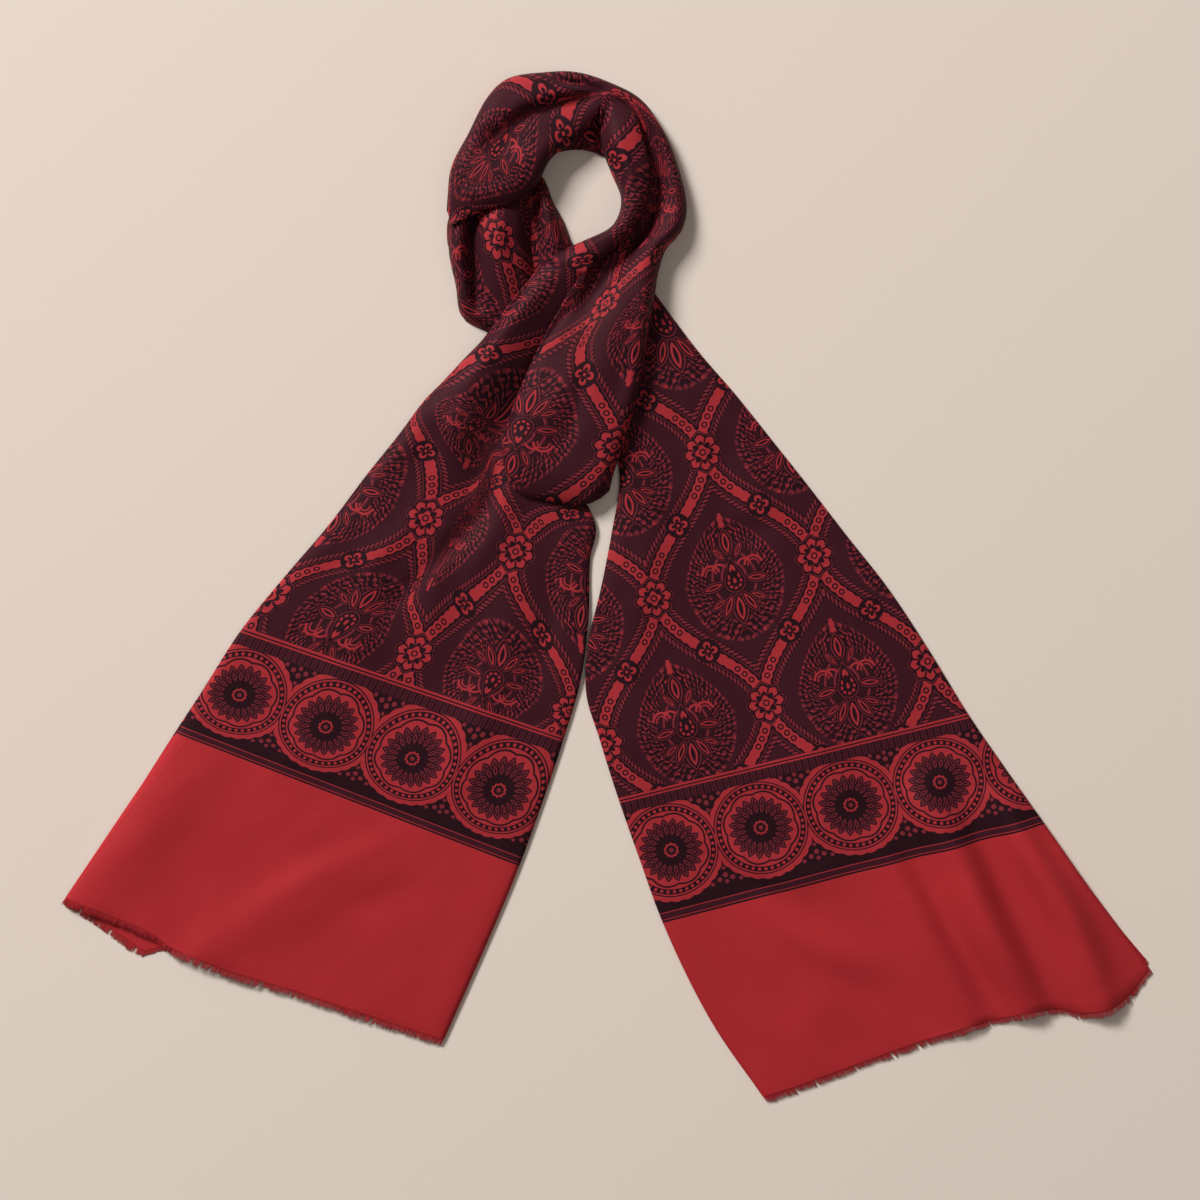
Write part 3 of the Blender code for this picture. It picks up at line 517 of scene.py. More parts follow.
class Stretch:
    """A surface through the sections of a table, and its place on the cloth."""

    def __init__(self, rows, across, edge_round, folds=(), end=STRAIGHT_END, end_round=0):
        self.table = np.array([Row(*row) for row in rows], float)
        self.knots = run((self.table[:, 0:2] + self.table[:, 2:4]) / 2)
        at = np.arange(STEPS * (len(rows) - 1) + 1) / STEPS
        even = np.interp(at, np.arange(len(rows)), self.knots)
        self.s = np.concatenate([[0, RIM], even[1:-1], [even[-1] - RIM, even[-1]]])
        self.t = np.linspace(0, 1, across + 1)
        self.edge_round = edge_round
        self.folds = folds
        self.end = end
        self.end_round = end_round

    def sections(self, s):
        """The table's columns at places along the stretch."""
        return Row(*curve(self.knots, self.table, s).T[..., None])

    def plan(self, row, from_end):
        """Place in plan, and the width of each section."""
        dx, dy = row.right_x - row.left_x, row.right_y - row.left_y
        width = np.hypot(dx, dy)
        across, reaches = np.transpose(self.end)
        pull = np.clip(1 - from_end / END_REACH, 0, 1) ** 2
        out = np.interp(self.t, across, reaches) * pull / width
        return row.left_x + dx * self.t + dy * out, row.left_y + dy * self.t - dx * out, width

    def form(self, row, x, y, width):
        """Height where nothing lies below: rounded edges, with folds and ripple between."""
        crest = row.left_crest + (row.right_crest - row.left_crest) * self.t
        radius = np.minimum(self.edge_round, width / 2)
        left = rounded(width * self.t, radius)
        right = rounded(width * (1 - self.t), radius)
        left_side = row.left_edge + (crest - row.left_edge) * left
        right_side = row.right_edge + (crest - row.right_edge) * right
        loose = fold_height(self.folds, x, y) + ripple(x, y)
        return np.minimum(left_side, right_side) + loose * np.minimum(left, right)

    def grid(self, s, pile=None):
        """Points of the underside, lifted onto the pile where it is higher."""
        row = self.sections(s)
        from_end = (self.knots[-1] - s)[:, None]
        x, y, width = self.plan(row, from_end)
        height = self.form(row, x, y, width)
        if self.end_round:
            height = height * (PUFF_RIM + (1 - PUFF_RIM) * rounded(from_end, self.end_round))
        if pile is not None:
            ground = pile.under(x, y) + LAY
            height = np.maximum(height, ground)
            for _ in range(SMOOTHINGS):
                height = np.maximum(smoothed(height), ground - LAY / 2)
        return np.dstack([x, y, height])

    def lay(self, pile, first=0):
        """Rest on the pile as it is now, and add the sections from the first on."""
        self.points = self.grid(self.s, pile)
        pile.add(self.points[first:])

    def cloth(self):
        """U and V at the points, even along the surface; a tuck hides cloth in a crease."""
        row = self.sections(self.s)
        across = run(self.points, 1)
        across = across / across[:, -1:]
        past = 1 / (1 + np.exp((row.tuck_at - self.t) / TUCK_BLUR))
        span = row.right_u - row.left_u
        hidden = np.sign(span) * np.maximum(row.tuck, 0)
        u = row.left_u + (span - hidden) * across + hidden * past
        v = row.left_v + (row.right_v - row.left_v) * across
        return np.dstack([u, v])


def smoothed(height):
    """A grid of heights, drawn towards their neighbours' means but at the sides."""
    padded = np.pad(height, 1, mode="edge")
    mean = (padded[:-2, 1:-1] + padded[2:, 1:-1] + padded[1:-1, :-2] + padded[1:-1, 2:]) / 4
    soft = (height + mean) / 2
    soft[:, 0], soft[:, -1] = height[:, 0], height[:, -1]
    return soft


class Pile:
    """A raster of how high the layers laid so far reach."""

    def __init__(self, ground):
        self.top = np.full(((EAST - WEST) // CELL, (NORTH - SOUTH) // CELL), float(ground))
        self.smooth = self.top

    def add(self, points, thickness=WALL):
        """Lay a grid of points, and round off its edges for what lies on it."""
        x, y, height = refined(points, CELL * 0.7).T
        cells = ((x - WEST) / CELL).astype(int), ((y - SOUTH) / CELL).astype(int)
        np.maximum.at(self.top, cells, height + thickness)
        soft = self.top
        for _ in range(SPREAD):
            soft = neighbours(soft, np.maximum)
        for _ in range(SPREAD):
            soft = neighbours(soft, np.add) / 9
        self.smooth = np.maximum(soft, neighbours(self.top, np.maximum))

    def under(self, x, y):
        """Height of the pile at places, read between the cells' middles."""
        u = np.clip((x - WEST) / CELL - 0.5, 0, self.smooth.shape[0] - 1.001)
        v = np.clip((y - SOUTH) / CELL - 0.5, 0, self.smooth.shape[1] - 1.001)
        i, j = u.astype(int), v.astype(int)
        u, v = u - i, v - j
        return (
            self.smooth[i, j] * (1 - u) * (1 - v)
            + self.smooth[i + 1, j] * u * (1 - v)
            + self.smooth[i, j + 1] * (1 - u) * v
            + self.smooth[i + 1, j + 1] * u * v
        )


def neighbours(raster, join):
    """Each cell joined with the eight round it."""
    rows, columns = raster.shape
    padded = np.pad(raster, 1, mode="edge")
    return join.reduce([padded[i : i + rows, j : j + columns] for i in range(3) for j in range(3)])


def refined(points, spacing):
    """Points of a grid's cells, no further apart than spacing."""
    counts = [
        int(np.linalg.norm(np.diff(points, axis=axis), axis=2).max() / spacing) + 2
        for axis in (0, 1)
    ]
    found = []
    for u in np.linspace(0, 1, counts[0]):
        rows = points[:-1] * (1 - u) + points[1:] * u
        for v in np.linspace(0, 1, counts[1]):
            found.append((rows[:, :-1] * (1 - v) + rows[:, 1:] * v).reshape(-1, 3))
    return np.concatenate(found)


def turned_over(rows):
    """The rows of a hidden panel, whose cloth runs the other way across."""
    rows = [Row(*row) for row in rows]
    return [row._replace(left_u=row.right_u, right_u=row.left_u) for row in rows]


def from_left_end(rows):
    """Rows whose V was measured from the left tail's end, measured from the right tail's."""
    rows = [Row(*row) for row in rows]
    return [
        row._replace(left_v=CUT_LENGTH - row.left_v, right_v=CUT_LENGTH - row.right_v)
        for row in rows
    ]


def hidden_panel(rows, folds, end):
    """The back panel of a tail, flat but where a high fold of the front lifts it."""
    panel = Stretch(rows, BACK_STEPS, TAIL_EDGE_ROUND, folds, end)
    panel.points = panel.grid(panel.s)
    lifted = BACK_FOLLOWS * (panel.points[..., 2] - BACK_STAYS_DOWN)
    panel.points[..., 2] = np.maximum(0, lifted)
    return panel


def lay_scarf():
    """Lay the stretches in the order that the scarf is folded, each on those before it."""
    right_back = hidden_panel(turned_over(RIGHT_TAIL), RIGHT_BACK_FOLDS, RIGHT_BACK_END)
    left_back = hidden_panel(from_left_end(LEFT_BACK), (), LEFT_BACK_END)
    right_front = Stretch(RIGHT_TAIL, RIGHT_STEPS, TAIL_EDGE_ROUND, RIGHT_TAIL_FOLDS, RIGHT_END)
    rise = Stretch(RISE, RISE_STEPS, LOOP_EDGE_ROUND, RISE_FOLDS)
    inner = Stretch(from_left_end(INNER), INNER_STEPS, TAIL_EDGE_ROUND, LEFT_TAIL_FOLDS, LEFT_END)
    wrap = Stretch(from_left_end(WRAP), WRAP_STEPS, LOOP_EDGE_ROUND, WRAP_FOLDS, PUFF_END, PUFF_ROUND)
    pile = Pile(-LAY)
    pile.add(right_back.points)
    right_front.lay(pile)
    pile.add(left_back.points)
    rise.lay(pile)
    tuck = STEPS * INNER_TUCK + 1
    inner.lay(pile, tuck)
    wrap.lay(pile)
    inner.points[:tuck] = inner.grid(inner.s[:tuck], pile)
    return right_back, right_front, left_back, rise, inner, wrap


def along_rows(points, places):
    """Points at places along each row of a grid, from nought to one."""
    at = places * (points.shape[1] - 1)
    k = np.minimum(at.astype(int), points.shape[1] - 2)
    part = (at - k)[:, None]
    return points[:, k] * (1 - part) + points[:, k + 1] * part


def folded_layers(top, bottom):
    """A grid that zigzags from the bottom surface to the top one, as folded cloth does."""
    p = np.linspace(0, TUCKED_LAYERS, LAYER_STEPS * TUCKED_LAYERS + 1)
    across = 0.5 - 0.5 * np.cos(np.pi * p)
    level = (p - LAYER_DWELL * np.sin(2 * np.pi * p)) / TUCKED_LAYERS
    low, high = along_rows(bottom, across), along_rows(top, across)
    return low + (high - low) * (LAYERS_FROM + LAYERS_REACH * level)[:, None]


def tucked_folds(below, above):
    """The layers between the stretch below and those above, and their places on the cloth."""
    ground, ceiling = Pile(-LAY), Pile(-OPEN_SKY)
    ground.add(below.points)
    for stretch in above:
        ceiling.add(stretch.points * (1, 1, -1), 0)
    tucked = Stretch(TUCKED, TUCKED_STEPS, TUCKED_EDGE_ROUND)
    top = tucked.grid(tucked.s)
    bottom = top.copy()
    x, y = top[..., 0], top[..., 1]
    bottom[..., 2] = ground.under(x, y) + LAY + SILK / 2
    room = -ceiling.under(x, y) - TUCKED_CLEAR
    top[..., 2] = np.maximum(np.minimum(top[..., 2], room), bottom[..., 2] + WALL)
    layers = folded_layers(top, bottom)
    places = np.meshgrid(np.linspace(0, TUCKED_U, layers.shape[1]), TUCKED_V + tucked.s)
    return layers, np.dstack(places)


def curl(points, cloth, rim, beside):
    """Columns that curl under from a rim, and the cloth's places on them."""
    edge, across = points[:, rim], points[:, beside] - points[:, rim]
    inward = unit(across * (1, 1, 0))
    radius = np.clip((edge[:, 2:3] - CURL_FLOOR) / ROLL_ROOM, LEAST_ROLL, ROLL)
    angles = CURL_TURN * np.arange(1, ROLL_STEPS + 1)[:, None] / ROLL_STEPS
    turn = inward[:, None] * (1 - np.cos(angles)) - np.sin(angles) * (0, 0, 1)
    columns = edge[:, None] + radius[:, None] * turn
    columns[..., 2] = np.maximum(columns[..., 2], CURL_FLOOR)
    reach = radius * angles.T / np.linalg.norm(across, axis=1, keepdims=True)
    outward = cloth[:, rim] - cloth[:, beside]
    return columns, cloth[:, rim][:, None] + outward[:, None] * reach[..., None]


def curled(stretch):
    """A stretch with both long edges curled under, and the cloth's places on it."""
    points, cloth = stretch.points, stretch.cloth()
    left, right = curl(points, cloth, 0, 1), curl(points, cloth, -1, -2)
    return [
        np.concatenate([first[:, ::-1], middle, last], axis=1)
        for first, middle, last in zip(left, (points, cloth), right)
    ]


def metres(points):
    """Points in millimetres as metres from the part's origin."""
    return (np.asarray(points, float) - ORIGIN) * MM


def silk_piece(name, points, faces, cloth, look):
    """An object of silk on points in millimetres, with their places on the cloth as UVs."""
    mesh = bpy.data.meshes.new(name)
    mesh.from_pydata(metres(points).reshape(-1, 3).tolist(), [], faces)
    corner = np.empty(len(mesh.loops), dtype=np.int32)
    mesh.loops.foreach_get("vertex_index", corner)
    layer = mesh.uv_layers.new(name="cloth")
    layer.data.foreach_set("uv", (cloth.reshape(-1, 2)[corner] * MM).ravel())
    mesh.shade_smooth()
    mesh.materials.append(look)
    return placed(name, mesh)


def placed(name, data):
    """A new object of the scene, of a mesh, a light or a camera."""
    thing = bpy.data.objects.new(name, data)
    bpy.context.scene.collection.objects.link(thing)
    return thing


def shell(name, points, cloth, look):
    """A thin shell of silk over a grid of its underside's points."""
    rows, columns = points.shape[:2]
    index = np.arange(rows * columns).reshape(rows, columns)
    quads = np.stack([index[:-1, :-1], index[:-1, 1:], index[1:, 1:], index[1:, :-1]], axis=-1)
    middle = points[rows // 2 : rows // 2 + 2, columns // 2 : columns // 2 + 2]
    up = np.cross(middle[0, 1] - middle[0, 0], middle[1, 0] - middle[0, 0])[2]
    if up < 0:
        quads = quads[..., ::-1]
    piece = silk_piece(name, points + (0, 0, SILK_LIFT), quads.reshape(-1, 4).tolist(), cloth, look)
    wall = piece.modifiers.new("Silk", "SOLIDIFY")
    wall.thickness = SILK * MM
    wall.offset = 1
    return piece


def reach_and_lean(at, rng):
    """How far threads reach and lean: in clumps, and short where a slit parts them."""
    slits = np.cumsum(rng.uniform(*SLIT_EVERY, SLITS))
    widths = rng.uniform(*SLIT_WIDTH, SLITS) / 2
    split = (np.abs(at[:, None] - slits) < widths).any(axis=1)
    reach = FRAY * (0.8 + 0.14 * np.sin(at / 9 + np.sin(at / 3.1)) * np.cos(at / 23))
    reach = reach * rng.uniform(0.74, 1, len(at)) * np.where(split, 0.25, 1)
    clump = np.sin(at / 1.9 + 2 * np.sin(at / 7)) * 0.2
    return reach, clump + rng.normal(0, 0.1, len(at))


def thread_rings(points, rng):
    """Rings of points round threads along a panel's end, and their places along it."""
    edge, further_in = points[-1], points[-3]
    places = run(edge)
    count = int(places[-1] / THREAD_PITCH)
    at = np.linspace(0, places[-1], count) + rng.uniform(-THREAD_SHIFT, THREAD_SHIFT, count)
    root, back = (
        np.stack([np.interp(at, places, line[:, k]) for k in range(3)], axis=1)
        for line in (edge, further_in)
    )
    reach, lean = reach_and_lean(at, rng)
    level = root[:, 2] + SILK_LIFT + SILK / 2
    droop = np.minimum(THREAD_DROOP * reach, np.maximum(level - THREAD_FLOOR, 0))
    droop = droop * rng.uniform(0.2, 1, count)

    u = np.linspace(0, 1, THREAD_STEPS + 1)[:, None]
    along = unit(np.gradient(root, axis=0))[:, None] * (1, 1, 0)
    reach, lean = reach[:, None, None], lean[:, None, None]
    spine = root[:, None] + unit(root - back)[:, None] * (u * (reach + FRAY_ROOT) - FRAY_ROOT)
    spine = spine + along * lean * u * u * THREAD_LEAN
    spine[..., 2] = level[:, None] - droop[:, None] * u[:, 0] ** 2
    angles = 2 * np.pi * np.arange(THREAD_SIDES) / THREAD_SIDES + np.pi / 6
    radius = THREAD * (1 - THREAD_TAPER * u)
    rings = spine[:, :, None] + along[:, None] * (radius * np.cos(angles))[..., None]
    rings[..., 2] += radius * np.sin(angles)
    return rings, at


def threads(name, points, look, seed):
    """Frayed threads along a panel's end."""
    rings, at = thread_rings(points, np.random.default_rng(seed))
    index = np.arange(rings[..., 0].size).reshape(rings.shape[:3])
    near, far = index[:, :-1], index[:, 1:]
    sides = np.stack([near, np.roll(near, -1, axis=2), np.roll(far, -1, axis=2), far], axis=-1)
    faces = sides.reshape(-1, 4).tolist() + index[:, 0, ::-1].tolist() + index[:, -1].tolist()
    cloth = np.empty((*index.shape, 2))
    cloth[..., 0] = at[:, None, None]
    cloth[..., 1] = np.linspace(0, FRAY, THREAD_STEPS + 1)[:, None]
    return silk_piece(name, rings, faces, cloth, look)


class Number:
    """What the shader works out at each point of the cloth."""

    def __init__(self, socket):
        self.socket = socket

    def __add__(self, other):
        return number("ADD", self, other)

    def __sub__(self, other):
        return number("SUBTRACT", self, other)

    def __rsub__(self, other):
        return number("SUBTRACT", other, self)

    def __mul__(self, other):
        return number("MULTIPLY", self, other)

    def __truediv__(self, other):
        return number("DIVIDE", self, other)

    __radd__ = __add__
    __rmul__ = __mul__


def feed(socket, value):
    """Link what the shader works out to a socket, or set a plain value on it."""
    if isinstance(value, Number):
        socket.id_data.links.new(value.socket, socket)
    else:
        socket.default_value = value


def worked_out(kind, inputs, **settings):
    """What a new node of the shader gives for its inputs, by place or name."""
    tree = next(value.socket.id_data for value in inputs.values() if isinstance(value, Number))
    node = tree.nodes.new(kind)
    for name, setting in settings.items():
        setattr(node, name, setting)
    for place, value in inputs.items():
        feed(node.inputs[place], value)
    return Number(node.outputs[0])


def number(operation, *values, clamp=False):
    """A Math node on numbers of the shader and plain ones."""
    return worked_out("ShaderNodeMath", dict(enumerate(values)), operation=operation, use_clamp=clamp)


def fused(value, times, more, clamp=False):
    """The value times another, and more."""
    return number("MULTIPLY_ADD", value, times, more, clamp=clamp)


def mixed(base, top, share):
    """The base, with a share of what lies over it."""
    return worked_out("ShaderNodeMix", {0: share, 2: base, 3: top})


def noise(u, v, across, along, detail=2):
    """A soft unevenness, its grain so long across and along the cloth."""
    place = worked_out("ShaderNodeCombineXYZ", {0: u / across, 1: v / along})
    grain = {"Vector": place, "Scale": 1, "Detail": detail}
    return worked_out("ShaderNodeTexNoise", grain, noise_dimensions="2D")


def size(value):
    """Its distance from nought."""
    return number("ABSOLUTE", value)


def away(x, y):
    """Distance from a motif's middle."""
    return number("SQRT", fused(x, x, y * y))


def bearing(x, y):
    """Angle round a motif's middle, from +y."""
    return number("ARCTAN2", x, y)


def wrapped(value, period):
    """The value brought within half a period of nought."""
    return number("WRAP", value, period / 2, -period / 2)


def wave(value, times):
    """The sine of so many times the value."""
    return number("SINE", value * times)


def petals(angle, count):
    """A cosine that goes so many times round a motif."""
    return number("COSINE", angle * count)


def inside(value, edge, soft=EDGE_SOFTNESS):
    """1 where the value is under the edge, 0 where it is over, with a soft step."""
    if isinstance(edge, Number):
        return fused(edge - value, 1 / soft, 0.5, clamp=True)
    return fused(value, -1 / soft, edge / soft + 0.5, clamp=True)


def between(value, low, high, soft=EDGE_SOFTNESS):
    """1 from low to high."""
    return inside(size(value - (low + high) / 2), (high - low) / 2, soft)


def over(value, edge):
    """1 where the value is over the edge, 0 elsewhere, with a hard step."""
    return number("GREATER_THAN", value, edge)


def ringed(ink, value, rings, soft=EDGE_SOFTNESS):
    """The ink with rings or stripes of others laid over it in turn."""
    for low, high, tone in rings:
        share = inside(value, high, soft) if low is None else between(value, low, high, soft)
        ink = mixed(ink, tone, share)
    return ink


def petal(x, y, place, angle, half_length, half_width):
    """A pointed oval: 0 at its middle, 1 on its outline, more outside."""
    cos, sin = np.cos(angle), np.sin(angle)
    dx, dy = x - place[0], y - place[1]
    across = fused(dx, cos / half_width, dy * (-sin / half_width))
    along = fused(dy, cos / half_length, dx * (sin / half_length))
    return fused(along, along, size(across))


def crescent(x, y, middle, radius, half_width, low):
    """A curved horn: the part of a ring above a height."""
    dx, dy = x - middle[0], y - middle[1]
    return inside(size(away(dx, dy) - radius), half_width) * inside(low - dy, 0)


def foliage(ink, x, y, out):
    """Small slanted leaves all round a palmette, in rows that shrink towards its middle."""
    leaves = LEAVES_ROUND / (2 * np.pi)
    stir = noise(x, y, FOLIAGE_PATCH, FOLIAGE_PATCH, 1) - 0.5
    turns = fused(stir, 1.5, bearing(x, y) * leaves)
    rows = number("LOGARITHM", out, np.e) * leaves
    row = number("ROUND", rows)
    up = rows - row
    across = wrapped(turns + row * 0.5 + up * 0.5, 1)
    leaf = size(across) * 3.5 + up * up * 3.7
    tone = mixed(*FOLIAGE_INKS, fused(stir, 5, 0.75, clamp=True))
    return mixed(ink, tone, inside(leaf, 0.95, 0.35))


def bud(ink, x, y):
    """The ringed bud in a palmette's heart, with eight dark gaps round it."""
    height = number("MINIMUM", y, y * 0.42)
    waist = number("MAXIMUM", 1 - number("MAXIMUM", y, 0) / 22, 0.1)
    out = away(x / waist, height)
    ink = ringed(ink, out, BUD_RINGS)
    gaps = inside(petals(bearing(x, y), 8), -0.35, 0.3)
    ink = mixed(ink, NAVY, gaps * inside(out, 4.9))
    return mixed(ink, RED, inside(out, 1.1))


def palmette(x, y):
    """Ink of a symmetric palmette in a leafy surround, its spear towards +y."""
    shoulder = number("MAXIMUM", y, 0) * x
    out = fused(shoulder, SHOULDER, away(x / PALMETTE_WIDTH, y / PALMETTE_HEIGHT))
    ink = mixed(PLUM, NAVY, inside(out, 0.98, 0.08))
    ink = mixed(foliage(ink, x, y, out), PLUM, inside(1.03 - out, 0, 0.03))
    ink = mixed(ink, PLUM * 0.55, inside(out, 0.60, 0.03))
    ink = mixed(ink, DIM, between(wave(out, 31), 0.72, 1.2) * inside(out, 0.58, 0.03))
    for leaf in SIDE_LEAVES:
        shape = petal(x, y, *leaf)
        ink = mixed(ink, NAVY, inside(shape, 1.3, 0.2))
        ink = ringed(ink, shape, LEAF_RINGS, 0.12)
    for horn in HORNS:
        ink = mixed(ink, RED, crescent(x, y, *horn))
    ink = bud(ink, x, y + 3)
    spear = size(x) - number("PINGPONG", y, 2.1) * 0.55
    return mixed(ink, RED, inside(spear, 0.9) * between(y, *SPEAR))


def rosette(ink, x, y):
    """A rosette of eight petals round a small quatrefoil, where two bands touch."""
    out, angle = away(x, y), bearing(x, y)
    ink = ringed(ink, out - petals(angle, 8), ROSETTE_RINGS)
    gaps = size(wrapped(angle + np.pi / 8, np.pi / 4)) * out
    ink = mixed(ink, NAVY, inside(gaps, 0.55) * between(out, 6, 11.6))
    ink = mixed(ink, RED, inside(out - 0.8 * petals(angle, 4), 4.2))
    return mixed(ink, NAVY, between(out, 1.3, 2.2))


def quatrefoil(ink, x, y):
    """Four round petals on a dark disc, half way along a band."""
    x, y = size(x), size(y)
    far, near = number("MAXIMUM", x, y), number("MINIMUM", x, y)
    ink = mixed(ink, NAVY, inside(away(x, y), 8))
    ink = mixed(ink, RED, inside(away(far - 3.9, near), 2.35))
    ink = mixed(ink, NAVY, inside(away(far - 3.1, near), 1.15))
    ink = mixed(ink, NAVY, inside(near - far, 0) * inside(far, 2.1))
    return mixed(ink, RED, inside(away(x, y), 1))


def band(ink, off, along):
    """A band of the lattice: a red core with ringed dots and bars, lines, and rows of leaves."""
    off = size(off)
    slanted = wrapped(along + off * 0.9, LEAF_PITCH) / 1.15
    from_leaves = off - LEAF_LINE
    spread = from_leaves / 1.7
    ink = mixed(ink, NAVY, inside(off, 6.2))
    ink = mixed(ink, NAVY, inside(size(from_leaves), 1.9))
    ink = mixed(ink, DIM, inside(slanted * slanted + spread * spread, 0.85, 0.5))
    ink = mixed(ink, DIM, between(off, 4.7, 5.2))
    along = size(along)
    dots = wrapped(along - DOT_START, DOT_PITCH)
    ink = mixed(ink, RED, inside(size(dots) * 0.3 + off, 3.55))
    bars = inside(wave(along, 4.2) * 0.18 + off, 2.75)
    ink = mixed(ink, RED, bars * inside(along, BARS_END))
    return mixed(ink, NAVY, between(away(dots, off), 1.05, 1.95) * between(along, BARS_END, DOTS_END))


def lattice(u, v):
    """Ink of the ogee lattice: bands that touch at rosettes, with a palmette in each cell."""
    p = number("PINGPONG", u, LATTICE_WIDTH / 2)
    q = number("PINGPONG", v - LATTICE_START, LATTICE_ROW)
    turn = q * (np.pi / LATTICE_ROW)
    swing = LATTICE_WIDTH / 4
    beyond = fused(number("COSINE", turn), swing, p - swing)
    slope = number("SINE", turn) * (swing * np.pi / LATTICE_ROW)
    steep = fused(slope, slope, 1)
    foot = fused(beyond, slope / steep, q)
    sway = number("SINE", foot * (2 * np.pi / LATTICE_ROW)) * BAND_SWAY
    along = fused(foot, BAND_LENGTH, sway - BAND_LENGTH * LATTICE_ROW / 2)

    on_row = over(beyond, 0)
    x = mixed(p, LATTICE_WIDTH / 2 - p, on_row)
    from_row = wrapped(v - LATTICE_START, 2 * LATTICE_ROW)
    from_next = wrapped(v - LATTICE_START - LATTICE_ROW, 2 * LATTICE_ROW)
    ink = palmette(x, mixed(from_next, from_row, on_row))
    ink = band(ink, beyond / number("SQRT", steep), along)
    ink = quatrefoil(ink, p - LATTICE_WIDTH / 4, q - LATTICE_ROW / 2)

    far_node = over(fused(p, 2 * LATTICE_ROW / LATTICE_WIDTH, q), LATTICE_ROW)
    x = mixed(p, LATTICE_WIDTH / 2 - p, far_node)
    y = mixed(q, LATTICE_ROW - q, far_node)
    return rosette(ink, x, y)


def wreath(ink, out, angle):
    """Two rings of pointed leaves round a roundel's heart."""
    leaf = size(wrapped(angle, 2 * np.pi / WREATH_LEAVES))
    for low, high, width in WREATH:
        along = (out - (low + high) / 2) / ((high - low) / 2)
        shape = leaf * out / width + along * along
        ink = mixed(ink, NAVY, inside(shape, 1, 0.25))
        ink = ringed(ink, shape, WREATH_RINGS)
    return ink


def roundels(u, y):
    """Ink of the border's row of roundels, y from their middle line."""
    x = wrapped(u, ROUNDEL_PITCH)
    out, angle = away(x, y), bearing(x, y)
    side_x, side_y = ROUNDEL_PITCH / 2 - size(x), size(y)
    ink = mixed(NAVY, RED, inside(out - 0.9 * size(wave(angle, 14)), 33.2))
    for place, radius in TREFOIL:
        ink = mixed(ink, DIM, inside(away(side_x - place[0], side_y - place[1]), radius))
    ink = ringed(ink, out, ROUNDEL_RINGS)
    beads = away(wrapped(angle, 2 * np.pi / BEADS) * ROUNDEL_BEAD_RING, out - ROUNDEL_BEAD_RING)
    ink = mixed(ink, RED, inside(beads, 1.1))
    ink = mixed(ink, RED, inside(out, 25))
    ink = mixed(ink, NAVY, between(out - 1.8 * size(wave(angle, 4)), 21.8, 22.9))
    ink = mixed(ink, NAVY, inside(out - 1.6 * size(wave(angle, 10)), 13))
    ink = wreath(ink, out, angle)
    ink = mixed(ink, NAVY, inside(out, 9.4))
    ink = mixed(ink, RED, between(out - 0.35 * wave(angle, 10), 3.3, 4.6))
    return mixed(ink, DIM, inside(out, 1.5))


def border(ink, u, v, from_end):
    """The field's ink and its end: plain red, lines, roundels and a row of boxes."""
    start = mixed(ROUNDEL_START, ROUNDEL_START + ROUNDEL_SHIFT, over(v, CUT_LENGTH / 2))
    row = roundels(u - start, from_end - ROUNDEL_LINE)
    ink = mixed(row, ink, inside(FIELD_START - from_end, 0))
    boxes = size(wrapped(u, BOX_PITCH))
    cell = mixed(NAVY, PLUM, inside(boxes, 1.6))
    cell = mixed(cell, BOX_INK, between(boxes, 1, 1.3))
    ink = mixed(ink, cell, between(from_end, *BOXES))
    ink = ringed(ink, from_end, BORDER_LINES)
    return mixed(ink, PLAIN, inside(from_end, BORDER_START))


def scarf_print(u, v):
    """Ink of the whole cloth: the lattice, with the same border before both ends."""
    from_end = number("MINIMUM", v, CUT_LENGTH - v)
    return border(lattice(u, v), u, v, from_end)


def frayed_yarn(u, v):
    """Ink of the frayed threads: plain red, a little darker here and there."""
    return mixed(PLAIN, DIM, noise(u, v, 0.7, 30) * 0.12)


def shade(rgb):
    """A colour of a screen, 0 to 255, as the shader's numbers."""
    return [((c / 255 + 0.055) / 1.055) ** 2.4 for c in rgb]


def ink_colour(ink):
    """The ramp that turns ink into colour."""
    colour = worked_out("ShaderNodeValToRGB", {"Fac": ink})
    elements = colour.socket.node.color_ramp.elements
    while len(elements) < len(INKS):
        elements.new(0.5)
    for element, (place, rgb) in zip(elements, INKS):
        element.position = place
        element.color = (*shade(rgb), 1.0)
    return colour


def weave(u, v):
    """Height of a plain weave with slubs both ways, about nought to one."""
    crossings = number("SINE", u * (2 * np.pi / WEAVE)) * number("SINE", v * (2 * np.pi / WEAVE))
    slubs = noise(u, v, *SLUB) + noise(u, v, *SLUB[::-1])
    return crossings * 0.25 + slubs * 0.6


def seam(u, v, from_edge):
    """The stitches along both long edges, and the wear towards them."""
    stitches = between(from_edge, *SEAM) * inside(size(wrapped(v, STITCH)), STITCH * 0.36)
    wear = inside(from_edge, 1.8, 3.6) * noise(u, v, 2, 9)
    return stitches, wear


